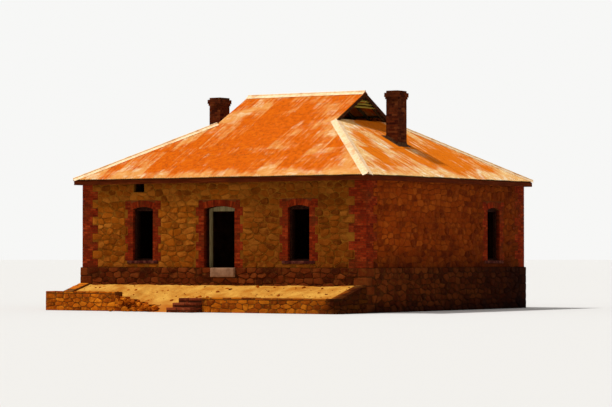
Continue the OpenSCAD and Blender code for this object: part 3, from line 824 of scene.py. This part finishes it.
# Boards of the eaves and gablets
# Fascia and barge boards nailed to the rafters' ends, and louvre slats across the gablets. They are bare. The
# fascia is dark at the eaves, partly as painted shade under them, and the slats are olive brown in the
# gablets. The lowest slats on the right have fallen.
# The fascia's dark colour is partly painted shade under the eaves
dress(timber_finish("fascia_timber", ["#371102", "#541c05", "#73320b"], (0.7, 0.7, 0.02)), "fascia_boards")
dress(timber_finish("barge_timber", ["#2a140a", "#402010", "#5c3820"], (0.3, 0.3, 0.05)), "barge_boards")
dress(timber_finish("louvre_timber", ["#8e7327", "#c0a33e", "#e7c655"], (0.1, 0.8, 0.02)), "gablet_louvres")

# Corrugated iron
# Galvanised sheets with eight corrugations of 76 mm each, laid in rows that lap each other up the
# slope and sideways, and nailed through the crests. The front and back are red with rust. The ends
# keep more of their zinc, and rust runs down them in streaks.
pitch = math.radians(29)
slope = math.tan(pitch)
fascia_low, fascia_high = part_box("fascia_boards")
eave_z = fascia_high.z
eave_half = ((fascia_high.x - fascia_low.x) / 2, (fascia_high.y - fascia_low.y) / 2)
gablet_run = 3.82
gablet_x = eave_half[0] - gablet_run
verge_out = 0.15
batten_v = 0.038 / math.cos(pitch)
iron_v = 0.018 / math.cos(pitch)
iron_lip = 0.04
stack_w = 0.47
stack_d = 0.6
stack_run = 2.37
stack_gap = 0.015
flute = 0.0762
sheet_cover = 8 * flute
side_lap = 0.75 * flute
# How far up a row of sheets reaches, on the long slopes and on the end slopes
row_covers = (1.95, 2.02)
end_lap = 0.14
gauge = 0.0012
crest_share = 0.92
points_a_flute = 8
sheet_rows = 5
least_sheet = 0.012
least_row = 0.1
gablet_gap = 0.035
ridge_gap = 0.01
lap_lift = 0.0018
lap_twist = 0.004
buckle = 0.004


class Slope:
    """One slope of the roof: x runs along the eave, r in from it in plan, and lift is plumb."""

    def __init__(self, side):
        self.along, self.out = facing(side)
        self.is_end = side % 2 == 1
        self.middle_run = eave_half[1 - side % 2]
        self.half_eave = eave_half[side % 2]
        self.top = gablet_run if self.is_end else self.middle_run

    def at(self, x, r, lift):
        x, r, lift = np.broadcast_arrays(np.asarray(x, float), r, lift)
        flat = x[..., None] * self.along + (self.middle_run - r)[..., None] * self.out
        return centre + flat + (eave_z + r * slope + lift)[..., None] * UP

    def top_run(self, x):
        """How far up the slope the sheets reach at x."""
        hip = self.half_eave - abs(x)
        if self.is_end:
            return min(hip, gablet_run - gablet_gap)
        return self.middle_run - ridge_gap if abs(x) <= gablet_x + verge_out else hip


def thin_solid(pile, upper, lower, rows, tint=None):
    """A closed solid between two like grids of points, each given row by row."""
    size = len(upper)
    columns = size // rows
    last_row = size - columns
    starts = [p for p in range(last_row) if p % columns < columns - 1]
    over = [(p, p + 1, p + 1 + columns, p + columns) for p in starts]
    under = [tuple(size + p for p in reversed(quad)) for quad in over]
    rim = [*range(columns - 1), *range(columns - 1, size - 1, columns)]
    rim += [*range(size - 1, last_row, -1), *range(last_row, 0, -columns)]
    sides = [(p, size + p, size + q, q) for p, q in zip(rim, rim[1:] + rim[:1])]
    pile.add(np.concatenate([upper, lower]), over + under + sides, tint)


def lay_sheet(pile, roof_slope, x0, x1, r0, r1, lift, stack):
    """One corrugated sheet as a thin solid, cut to the hips and round a stack: half, low and high run."""
    edges = [gablet_x + verge_out, stack[0]] if stack else [gablet_x + verge_out]
    breaks = sorted([x0, x1] + [x for edge in edges for x in (-edge, edge) if x0 < x < x1])
    tint = pile.chance.random()
    for a, b in zip(breaks, breaks[1:]):
        count = max(2, round((b - a) / flute * points_a_flute) + 1)
        xs = np.linspace(a, b, count)
        tops = np.array([min(r1, roof_slope.top_run(x)) for x in np.linspace(a + 1e-4, b - 1e-4, count)])
        lows = np.full(count, r0)
        runs = [(lows, tops)]
        if stack and abs(a + b) / 2 < stack[0] and r0 < stack[2] and r1 > stack[1]:
            runs = [(lows, np.minimum(tops, stack[1])), (np.maximum(lows, stack[2]), tops)]
        for low, high in runs:
            keep = high - low > least_sheet
            if keep.sum() < 2:
                continue
            x = xs[keep]
            r = low[keep] + np.linspace(0, 1, sheet_rows)[:, None] * (high - low)[keep]
            wave = iron_v * crest_share / 2 * (1 + np.cos(2 * math.pi * x / flute))
            level = batten_v + gauge + wave + lift + lap_twist * (r1 - r) / (r1 - r0)
            level = level + buckle * np.sin(x * 2.1 + r * 1.7 + tint * 9)
            upper = roof_slope.at(x, r, level).reshape(-1, 3)
            thin_solid(pile, upper, upper - UP * gauge, sheet_rows, tint)


def roof_sheets(side):
    """All sheets of one slope, from the eave up."""
    roof_slope = Slope(side)
    pile = Pile(50 + side)
    stack = None
    if roof_slope.is_end:
        half_run = stack_w / 2 + stack_gap
        stack = (stack_d / 2 + stack_gap, stack_run - half_run, stack_run + half_run)
    half = roof_slope.half_eave + iron_lip
    sheets = math.ceil(2 * half / sheet_cover)
    start = -iron_lip
    while start < roof_slope.top - least_row:
        end = start + row_covers[side % 2]
        lap = end_lap if start > 0 else 0.0
        for i in range(sheets):
            x0 = max(-half, (i - sheets / 2) * sheet_cover)
            x1 = min(half, x0 + sheet_cover + side_lap)
            low = start + pile.chance.uniform(0.0, 0.02) - lap
            high = min(end, roof_slope.top)
            lay_sheet(pile, roof_slope, x0, x1, low, high, lap_lift * (i % 2), stack)
        start = end
    return pile


def iron_finish(name, streak, rusting, rust_paint, zinc_paint, hip_bare, eave_bare):
    """Old galvanised iron: zinc dulled to cream, rust in patches and in streaks down the slope.

    Rusting is where rust sets in and is full. Beside the hips and along the eaves lies less of it.
    """
    made = Finish(name, 0.72)
    # The wear comes in streaks and in patches, and some sheets have more of it
    worn = made.sum(made.times(made.spots(streak, 5), 0.45), made.times(made.spots(1.1, 6), 0.55))
    worn = made.sum(worn, made.times(made.tint(), 0.16))
    from_end, from_front = from_edges(made, *eave_half)
    from_hip = made.reckon("ABSOLUTE", made.less(from_end, from_front))
    from_eave = made.reckon("MINIMUM", from_end, from_front)
    worn = made.less(worn, made.fade(from_hip, 0.1, 1.3, hip_bare, 0.0))
    worn = made.less(worn, made.fade(from_eave, 0.0, 0.7, eave_bare, 0.0))
    rust = made.shades(made.fade(made.spots(0.16, 7, 0.65), 0.3, 0.7), rust_paint)
    zinc = made.shades(made.fade(made.spots(0.4, 5), 0.34, 0.66), zinc_paint)
    return made.finished(made.mix(made.fade(worn, *rusting), zinc, rust), grains=[(0.0015, 0.01, 6, 0.7)])


front_iron = iron_finish(
    "rusted_iron_front", (0.05, 1.3, 0.8), (0.44, 0.56), ["#c25404", "#e26602", "#ec7a0a"],
    ["#f4b870", "#ec9c48", "#f8d09c"], hip_bare=0.1, eave_bare=0.18
)
end_iron = iron_finish(
    "rusted_iron_end", (1.3, 0.05, 0.8), (0.49, 0.59), ["#d4660a", "#ea7c10", "#e2720c"],
    ["#fff0cc", "#f0b060", "#ffe0a8"], hip_bare=0.12, eave_bare=0.16
)
for side, name in enumerate(side_names):
    iron = end_iron if side % 2 else front_iron
    roof_sheets(side).make("roof_sheets_" + name, iron, "rusted_iron", ["roof_iron_" + name], 0.7)

# Roof nails
# Galvanised nails with domed heads and lead washers, driven through every second crest into the
# battens. Their zinc has gone, and they are darker than the sheets.
nail_r = 0.011
nail_h = 0.008
nail_turns = [math.pi * k / 3 for k in range(6)]
nail_ring = np.array([(nail_r * math.cos(turn), nail_r * math.sin(turn), 0.0) for turn in nail_turns])
nail_lift = batten_v + crest_share * iron_v + 0.006
hip_clear = 0.3
stack_clear = 0.15
first_batten = 0.06
last_batten = 0.1
batten_gap = 0.76
nails = Pile(58)
for side in range(4):
    roof_slope = Slope(side)
    bays = math.ceil((roof_slope.top - last_batten) / batten_gap)
    crests = int(roof_slope.half_eave / flute)
    for row in range(bays + 1):
        r = first_batten + row * (roof_slope.top - first_batten - last_batten) / bays
        by_stack = roof_slope.is_end and abs(r - stack_run) < stack_w / 2 + stack_clear
        for x in [k * flute for k in range(-crests, crests + 1, 2)]:
            if r > roof_slope.top_run(x) - hip_clear or (by_stack and abs(x) < stack_d / 2 + stack_clear):
                continue
            at = roof_slope.at(x, r, nail_lift)
            head = [at + nail_ring - UP * 1.5 * nail_h, at + nail_ring, [at + UP * nail_h / 2]]
            nails.add(np.concatenate(head), lofted(6, 2))
nail_metal = Finish("nail_metal", 0.7, 0.3)
nail_paint = nail_metal.mix(nail_metal.tint(), "#6a3414", "#a07850")
nail_finish = nail_metal.finished(nail_paint, grains=[(0.001, 0.004)])
nails.make("roof_nails", nail_finish, "zinc_capping", smooth_angle=0.6)

# Ridge and hip capping
# Galvanised capping, folded to the two slopes with a roll along its top, in lapped lengths nailed to
# the sheets. Most of it is bare, bright zinc, with rust in places.
cap_lift = batten_v + iron_v + 0.003
cap_wing = 0.2
cap_roll = 0.03
cap_length = 1.8
cap_rows = 9
cap_t = 0.0015
cap_wobble = 0.004
cap_lap_up = 0.002
cap_past_eave = 0.02
# Lengths lap each other by this share of the whole run
cap_lap = 0.04
roll_turns = [math.radians(-25 + 230 * i / 12) for i in range(13)]


def unit(vector):
    return vector / np.linalg.norm(vector)


def sweep_cap(pile, start, end, wing_a, wing_b):
    """A length of capping between two points on a hip or ridge. The wings point down the slopes."""
    run = unit(end - start)
    side = unit(np.cross(run, UP))
    top = np.cross(side, run)
    if np.dot(side, wing_a) < 0:
        wing_a, wing_b = wing_b, wing_a
    roll = [cap_roll * (side * math.cos(turn) + top * (0.55 + math.sin(turn))) for turn in roll_turns]
    profile = np.array([wing_b * cap_wing, *reversed(roll), wing_a * cap_wing])
    layers = []
    for layer in (profile, profile - top * cap_t):
        points = []
        for i in range(cap_rows):
            at = start + (end - start) * i / (cap_rows - 1)
            wobble = top * cap_wobble * math.sin(3.1 * i + pile.chance.uniform(0, 1))
            points += [at + p + wobble for p in layer]
        layers.append(points)
    thin_solid(pile, *layers, cap_rows)


def cap_run(pile, first, last, wing_a, wing_b):
    """Lapped lengths from the lower end up."""
    first, last = np.array(first), np.array(last)
    count = max(1, round(np.linalg.norm(last - first) / cap_length))
    lap = UP * cap_lap_up
    for i in range(count):
        a = first + (last - first) * max(0.0, i / count - cap_lap)
        b = first + (last - first) * (i + 1) / count
        sweep_cap(pile, a + lap * (i + 1), b + lap * i, wing_a, wing_b)


caps = Pile(61)
for sx, sy in corners:
    ends = []
    for run in (-cap_past_eave, gablet_run - verge_out):
        x, y = sx * (eave_half[0] - run), centre[1] + sy * (eave_half[1] - run)
        ends.append(np.array([x, y, eave_z + run * slope + cap_lift]))
    hip = unit(ends[1] - ends[0])
    alongs = np.array([(-sx, 0.0, 0.0), (0.0, -sy, 0.0)])
    cap_run(caps, *ends, *[unit(along - hip * np.dot(along, hip)) for along in alongs])
ridge_z = eave_z + eave_half[1] * slope + cap_lift
ridge_end = gablet_x + verge_out - 0.003
down = np.array([0.0, -math.cos(pitch), -math.sin(pitch)])
cap_run(caps, (-ridge_end, centre[1], ridge_z), (ridge_end, centre[1], ridge_z), down, down * (1, -1, 1))
zinc_finish = Finish("zinc_capping", 0.55, 0.15).finished(
    "#fbdcb4", [("#f0c48c", 0.12, 7, 0.4, 0.65, 1.0), ("#d08c48", 0.5, 6, 0.54, 0.7, 0.85)], [(0.004, 0.2, 3)]
)
caps.make("roof_capping", zinc_finish, "zinc_capping", ["ridge_cap", "hip_caps"], 0.6)

# Chimneys
# Brick stacks on the end slopes, sooty and dark, with oversailing courses near the top. They stand on
# breasts carried up from the ground inside the end rooms. Some bricks of the top course are lost.
oversail = 0.026
# How far each of the top courses stands out, from the top down
top_courses = (0.0, 2 * oversail, 2 * oversail, oversail)
lost_bricks = 0.25
stack_foot = eave_z + (stack_run - stack_w / 2) * slope - 0.1
stack_bricks = Pile(71)
for end in (-1, 1):
    stack_middle = centre + np.array([end * stack_x, 0.0, 0.0])
    for row in range(int((stack_high.z - stack_foot) / course_h)):
        out = top_courses[row] if row < len(top_courses) else 0.0
        v = stack_high.z - (row + 1) * course_h + stack_bricks.chance.uniform(-0.002, 0.002)
        for turn in range(4):
            w, d = ((stack_w, stack_d), (stack_d, stack_w))[turn % 2]
            along, outward = facing(turn)
            plane = Plane(stack_middle + outward * (d / 2 + out), along)
            past = 0.0 if turn % 2 else brick_proud - 0.001
            half = w / 2 + out + past
            lay_courses(
                stack_bricks, plane, -half, 1, 2 * half, v, v + course_h, (row + turn) % 2 == 0,
                lost=0.0 if row else lost_bricks
            )

# Lead is dressed over the crests round each stack and turned up against its bricks
flashing_w = 0.12
flashing_up = 0.09
flashing_gap = 0.012
lead_t = 0.003
crest = batten_v + iron_v + 0.006
flashings = Pile(72)
for side in (1, 3):
    roof_slope = Slope(side)
    rings = []
    for gap, lift in ((flashing_gap + flashing_w, 0.0), (flashing_gap, 0.0), (flashing_gap, flashing_up)):
        half_x, half_r = stack_d / 2 + gap, stack_w / 2 + gap
        plan = rectangle(-half_x, half_x, -half_r, half_r)
        rings.append([roof_slope.at(x, stack_run + r, crest + lift) for x, r in plan])
    stack_middle = roof_slope.at(0.0, stack_run, crest)
    for k in range(4):
        upper = np.array([ring[(k + step) % 4] for ring in rings for step in (0, 1)])
        inward = (stack_middle - upper) * (1, 1, 0)
        inward /= np.linalg.norm(inward, axis=1)[:, None]
        thin_solid(flashings, upper, upper + inward * lead_t - UP * lead_t, len(rings), 0.5)
lead_finish = Finish("lead_flashing", 0.85).finished(
    "#3c2416", [("#64462e", 0.1, 7, 0.35, 0.65, 1.0)], [(0.004, 0.05, 5)]
)
flashings.make("stack_flashings", lead_finish, "zinc_capping")
stack_paint = ["#361008", "#52200c", "#642c12", "#421608", "#743c1c"]
stack_bricks.make("chimney_bricks", brick_finish("stack_brick", stack_paint, "#260e06"), "brick")
dress(mortar_finish("stack_mortar", "#5c361a", "#42200e", "#281008"), "chimney_left", "chimney_right")

# Terrace walls
# Low retaining walls of ochre field stone laid nearly dry, with flat stones along their tops. Part of
# the front wall has fallen, and its stones lie in a heap where it stood.
terrace_low, terrace_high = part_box("terrace_wall_right")
end_low, end_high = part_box("terrace_end_walls")
terrace_t = 0.4
terrace_stone = (0.34, 0.16)
terrace_proud = (0.015, 0.04)
dry_joint = 0.012
coping_h = 0.07
coping_l = (0.3, 0.6)
coping_up = 0.012
coping_out = 0.03
# Painted shade: the front grows darker towards its right end, and the right end's face, turned from the key
# light, is darker still
terrace_painted_shade_to_right = (creeping, "#511d04", "X", -half_w / 2, half_w + 1.0, 0.9, 4.0, 0.6)
corner_painted_shade = (creeping, "#180201", "X", half_w - 0.35, half_w - 0.08, 0.6, 0.5, 0.82)
terrace_finish = stone_finish(
    "terrace_stone", ["#783304", "#ad5006", "#c9630b", "#e27e15", "#b25208", "#923e06"], "#f69924", "#5f2503",
    [terrace_painted_shade_to_right, corner_painted_shade]
)


def coping(pile, low, high, depth=coping_h):
    """Flat stones side by side along the top of a low wall."""
    chance = pile.chance
    along = 0 if high[0] - low[0] > high[1] - low[1] else 1
    at = low[along]
    while at < high[along] - 0.05:
        step = min(chance.uniform(*coping_l), high[along] - at)
        first, last = list(low), list(high)
        first[along], last[along] = at, at + step - dry_joint
        last[2] += chance.uniform(-0.012, 0.012)
        first[2] = last[2] - depth
        worn_block(pile, first, last, edge=0.025, rough=0.02, pitch=0.1)
        at += step


def end_wall_top(y):
    return terrace_high.z + (end_high.z - terrace_high.z) * (y - end_low.y) / (end_high.y - end_low.y)


terrace_stones = Pile(81)
for low, high in (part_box("terrace_wall_left"), (terrace_low, terrace_high)):
    domain = (low.x, high.x, 0.0, high.z - coping_h)
    lay_rubble(
        terrace_stones, Plane((0, low.y, 0), (1, 0, 0)), domain, terrace_stone, terrace_proud, joint=dry_joint
    )
    coping(terrace_stones, (low.x, low.y - coping_out, 0), (high.x, high.y + 0.01, high.z + coping_up))
for sx in (-1, 1):
    x = sx * terrace_high.x
    face = Plane((x, terrace_low.y if sx > 0 else end_high.y, 0), (0, sx, 0))
    length = end_high.y - terrace_low.y
    run = length - terrace_t
    low_at = (terrace_t if sx > 0 else run, terrace_high.z - 0.02)
    limits = [(low_at, (-sx * (end_high.z - terrace_high.z), run))]
    lay_rubble(
        terrace_stones, face, (0.0, length, 0.0, end_high.z), terrace_stone, terrace_proud, joint=dry_joint,
        limits=limits
    )
    # The flat stones on the end walls are laid level, and then moved up to the walls' slope
    flat = Pile(84 + sx)
    left, right = sorted((x + sx * coping_out, x - sx * terrace_t))
    coping(flat, (left, end_low.y + 0.01, 0), (right, end_high.y - 0.01, coping_up))
    start = len(terrace_stones.points)
    terrace_stones.points += [(x, y, z + end_wall_top(y)) for x, y, z in flat.points]
    terrace_stones.faces += [tuple(start + i for i in face) for face in flat.faces]
    terrace_stones.tints += flat.tints
terrace_stones.make("terrace_stones", terrace_finish, "terrace_stone")
terrace_mortar = mortar_finish("terrace_bedding", "#804c1c", "#603410", "#40200a", [corner_painted_shade])
dress(
    terrace_mortar, "terrace_wall_left", "terrace_wall_right", "terrace_end_walls", "terrace_wall_broken"
)

broken_low, broken_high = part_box("terrace_wall_broken")
broken_steps = 5
broken_drop = 0.086
broken_step_l = (broken_high.x - broken_low.x) / broken_steps
broken_tops = [broken_high.z - i * broken_drop for i in range(broken_steps)]
broken_face = Plane((0, broken_low.y, 0), (1, 0, 0))
broken_stone = (0.26, 0.13)
broken_stones = Pile(82)
for i, top in enumerate(broken_tops):
    x0 = broken_low.x + i * broken_step_l
    x1 = x0 + broken_step_l
    domain = (x0, x1, 0.0, top - coping_h)
    lay_rubble(broken_stones, broken_face, domain, broken_stone, (0.015, 0.05), joint=dry_joint)
    # Each course that is left ends in loose stones across the wall
    for y0, y1 in ((broken_low.y - coping_out, broken_low.y + 0.16), (broken_low.y + 0.17, broken_high.y)):
        end = x1 + broken_stones.chance.uniform(-0.03, 0.04)
        coping(broken_stones, (x0 - 0.02, y0, 0), (end, y1, top + 0.014), 0.09)
broken_stones.make("broken_wall_stones", terrace_finish, "terrace_stone")

stone_facets = 9
stone_flatness = 0.7
fallen_tries = 110
largest_fallen = 0.16
smallest_fallen = 0.06
heap_spread = 0.17
heap = Pile(85)
fallen = []


def boulder(pile, at, size):
    """A fallen stone: a lump split to flat faces."""
    chance = pile.chance
    lump = bmesh.new()
    bmesh.ops.create_icosphere(lump, subdivisions=2, radius=1.0)
    points = np.array([v.co[:] for v in lump.verts])
    faces = [[v.index for v in f.verts] for f in lump.faces]
    lump.free()
    for _ in range(stone_facets):
        normal = unit(np.array([chance.gauss(0, 1) for _ in range(3)]))
        past = np.maximum(0, points @ normal - chance.uniform(0.55, 0.8))
        points -= past[:, None] * normal
    turn = chance.uniform(0, math.pi)
    spin = np.array([[math.cos(turn), -math.sin(turn), 0], [math.sin(turn), math.cos(turn), 0], [0, 0, 1]])
    across, up = chance.uniform(0.6, 0.95), stone_flatness * chance.uniform(0.6, 1.0)
    stretch = np.array([size, size * across, size * up])
    placed = points * stretch @ spin.T + np.array(at)
    placed[:, 2] += max(0.0, -placed[:, 2].min())
    pile.add(placed, faces)


def left_standing(x):
    """How high the wall still stands at x."""
    step = int((x - broken_low.x) / broken_step_l)
    return broken_tops[min(broken_steps - 1, max(0, step))]


def resting_height(x, y, size):
    """Where a stone comes to rest: on the ground, on what is left of the wall, or on other stones."""
    on_wall = y > broken_low.y and broken_low.x < x < broken_high.x
    z = (left_standing(x) if on_wall else 0.0) + 0.32 * size
    for other_x, other_y, other_z, other_size in fallen:
        apart = math.hypot(x - other_x, y - other_y) / (0.72 * (size + other_size))
        if apart < 1:
            z = max(z, other_z + 0.36 * (size + other_size) * math.sqrt(1 - apart ** 2))
    return z


for i in range(fallen_tries):
    x = heap.chance.uniform(broken_low.x + 0.1, broken_high.x + 0.15)
    y = broken_low.y + 0.06 - abs(heap.chance.gauss(0, heap_spread))
    size = largest_fallen - (largest_fallen - smallest_fallen) * i / fallen_tries
    size += heap.chance.uniform(-0.02, 0.02)
    z = resting_height(x, y, size)
    if z < 0.1 + 0.8 * left_standing(x):
        fallen.append((x, y, z, size))
        boulder(heap, (x, y, z), size)
heap.make("fallen_stones", terrace_finish, "terrace_stone", smooth_angle=0.5)

# Terrace fill
# Trodden earth and dry dust behind the walls, falling from the house to the front, and slumped where
# the wall has gone. Small stones lie in it.
fill_low, fill_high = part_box("terrace_fill")
fill_front_h = 0.43
slumped_h = 0.23
slump_edge = 0.35
bed_front = terrace_low.y + terrace_t
steps_low, steps_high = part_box("terrace_steps")


def smooth(t):
    t = min(max(t, 0.0), 1.0)
    return t * t * (3 - 2 * t)


def rolling(x, y):
    return 0.03 * noise.noise(Vector((x * 1.3, y * 1.3, 3))) + 0.012 * noise.noise(Vector((x * 7, y * 7, 9)))


def fill_height(x, y):
    back = (y - bed_front) / (fill_high.y - bed_front)
    slumped = smooth((x - broken_low.x) / slump_edge) * smooth((steps_low.x - x) / slump_edge)
    front = fill_front_h + (slumped_h - fill_front_h) * slumped
    return front + (fill_high.z - front) * back + rolling(x, y) - 0.005


def spill_height(x, y):
    """The slid earth: a fan that falls to the ground in front and banks up against the steps."""
    out = (bed_front - y) / (bed_front - fill_low.y)
    edge = 1.05 + 0.12 * noise.noise(Vector((x * 4, 0, 5)))
    top = fill_height(x, bed_front) + 0.06 * smooth((x - steps_low.x + 0.5) / 0.5)
    return max(0.004, top * (1 - smooth(out * edge) ** 0.8) + 0.5 * rolling(x, y) * (1 - out))


def earth_bed(pile, x0, x1, y0, y1, columns, rows, height):
    plan = [
        (x0 + (x1 - x0) * i / columns, y0 + (y1 - y0) * j / rows)
        for j in range(rows + 1) for i in range(columns + 1)
    ]
    thin_solid(pile, [(x, y, height(x, y)) for x, y in plan], [(x, y, 0.0) for x, y in plan], rows + 1, 0.5)


earth = Pile(91)
earth_bed(earth, fill_low.x, fill_high.x, bed_front, fill_high.y, 150, 20, fill_height)
earth_bed(earth, broken_high.x, steps_low.x, fill_low.y, bed_front, 24, 20, spill_height)
# The earth that has slid forward is redder
slid_earth = (creeping, "#c06a20", "Y", bed_front + 0.4, bed_front - 0.1, 1.0, 0.0, 0.7)
earth_finish = Finish("terrace_earth", 1.0).finished(
    "#e6aa49", [("#c37825", 0.7, 8, 0.38, 0.62, 1.0), ("#b07430", 0.06, 8, 0.55, 0.7, 1.0)],
    [(0.02, 0.08, 8, 0.7)], [slid_earth]
)
earth.make("terrace_earth", earth_finish, "terrace_earth", ["terrace_fill"], 1.0)
pebbles = Pile(92)
pebble_count = 160
for _ in range(pebble_count):
    x = pebbles.chance.uniform(fill_low.x + 0.1, fill_high.x - 0.1)
    y = pebbles.chance.uniform(bed_front, fill_high.y - 0.1)
    # Most of them are small
    size = 0.02 + 0.07 * pebbles.chance.random() ** 3
    boulder(pebbles, (x, y, fill_height(x, y)), size)
pebbles.make("terrace_pebbles", terrace_finish, "terrace_stone", smooth_angle=0.5)

# Terrace steps
# Three steps of stone slabs on squared blocks, in front of the door. They are darker than the walls beside
# them, which is painted shade, and their arrises are worn.
step_count = 3
step_rise = (steps_high.z - steps_low.z) / step_count
step_run = (steps_high.y - steps_low.y) / step_count
tread_t = 0.085
tread_proud = 0.015
tread_gap = 0.008
riser_proud = 0.008
riser_t = 0.1
cheek_t = 0.08
step_slabs = Pile(93)
left, right = steps_low.x - riser_proud, steps_high.x + riser_proud
for i in range(step_count):
    y0 = steps_low.y + i * step_run
    top = (i + 1) * step_rise
    splits = [steps_low.x - tread_proud, steps_low.x + 0.42 + 0.1 * (i % 2), steps_high.x + tread_proud]
    for a, b in zip(splits, splits[1:]):
        low = (a, y0 - tread_proud, top - tread_t)
        high = (b - tread_gap, steps_high.y, top + tread_proud)
        worn_block(step_slabs, low, high, edge=0.02, rough=0.012, pitch=0.07)
    # Under the treads, squared blocks show in front and at both sides
    for x0, x1, front, back in (
        (left, right, y0 - riser_proud, y0 + riser_t),
        (left, steps_low.x + cheek_t, y0 + riser_t, steps_high.y),
        (steps_high.x - cheek_t, right, y0 + riser_t, steps_high.y),
    ):
        coping(step_slabs, (x0, front, 0), (x1, back, top - tread_t), step_rise - tread_t)
# The steps' stone and bedding are darkened with painted shade
step_finish = stone_finish("step_stone", ["#742e16", "#88391c", "#984a28", "#7c3218"], "#a8623a", "#4a1a0e")
step_slabs.make("terrace_step_slabs", step_finish, "dressed_stone")
dress(mortar_finish("step_bedding", "#5c2a14", "#46200e", "#301408"), "terrace_steps")

# Stage
# A plain pale floor and background, soft light from all round, and one key light from high on the
# left, so that the roof is bright and both walls that show are in half shade.
bpy.ops.mesh.primitive_circle_add(vertices=96, radius=900, fill_type="NGON", location=(0, 0, 0))
floor = bpy.context.object
floor.name = "stage_floor"
floor.data.materials.append(Finish("stage_floor", 0.95).finished("#e4e2de"))

world = bpy.data.worlds.new("studio")
bpy.context.scene.world = world
world.use_nodes = True
tree = world.node_tree
soft_light = tree.nodes["Background"]
backdrop = tree.nodes.new("ShaderNodeBackground")
for light, shade, strength in ((soft_light, (1.0, 1.0, 1.0), 0.42), (backdrop, (0.93, 0.93, 0.92), 1.0)):
    light.inputs["Color"].default_value = (*shade, 1.0)
    light.inputs["Strength"].default_value = strength
# The camera, gloss and glass see the backdrop, and everything else is lit by the soft light
rays = tree.nodes.new("ShaderNodeLightPath").outputs
seen = rays["Is Camera Ray"]
for ray in ("Is Glossy Ray", "Is Transmission Ray"):
    either = tree.nodes.new("ShaderNodeMath")
    either.operation = "MAXIMUM"
    tree.links.new(seen, either.inputs[0])
    tree.links.new(rays[ray], either.inputs[1])
    seen = either.outputs[0]
chosen = tree.nodes.new("ShaderNodeMixShader")
for result, socket in zip((seen, soft_light.outputs[0], backdrop.outputs[0]), chosen.inputs):
    tree.links.new(result, socket)
tree.links.new(chosen.outputs[0], tree.nodes["World Output"].inputs[0])

key_from = Vector((-0.42, -0.2, 0.88))
key = bpy.data.lights.new("key", "SUN")
key.energy = 2.6
key.angle = math.radians(3)
key_light = bpy.data.objects.new("key", key)
key_light.rotation_euler = key_from.to_track_quat("Z", "Y").to_euler()
bpy.context.scene.collection.objects.link(key_light)

# Camera
# It looks from the photograph's side, low and far off the front right corner. A long lens frames the
# house alone.
camera_azimuth = math.radians(33.7)
camera_distance = 95.9
camera_height = 1.95
aim_height = 3.8
lens = bpy.data.cameras.new("camera")
lens.sensor_width = 36
lens.lens = 155.8
lens.clip_end = 3000
camera = bpy.data.objects.new("camera", lens)
camera.location = (
    centre[0] + camera_distance * math.sin(camera_azimuth),
    centre[1] - camera_distance * math.cos(camera_azimuth),
    camera_height,
)
aim = Vector((centre[0], centre[1], aim_height))
camera.rotation_euler = (aim - camera.location).to_track_quat("-Z", "Y").to_euler()
bpy.context.scene.collection.objects.link(camera)
bpy.context.scene.camera = camera
bpy.context.scene.view_settings.view_transform = "Standard"
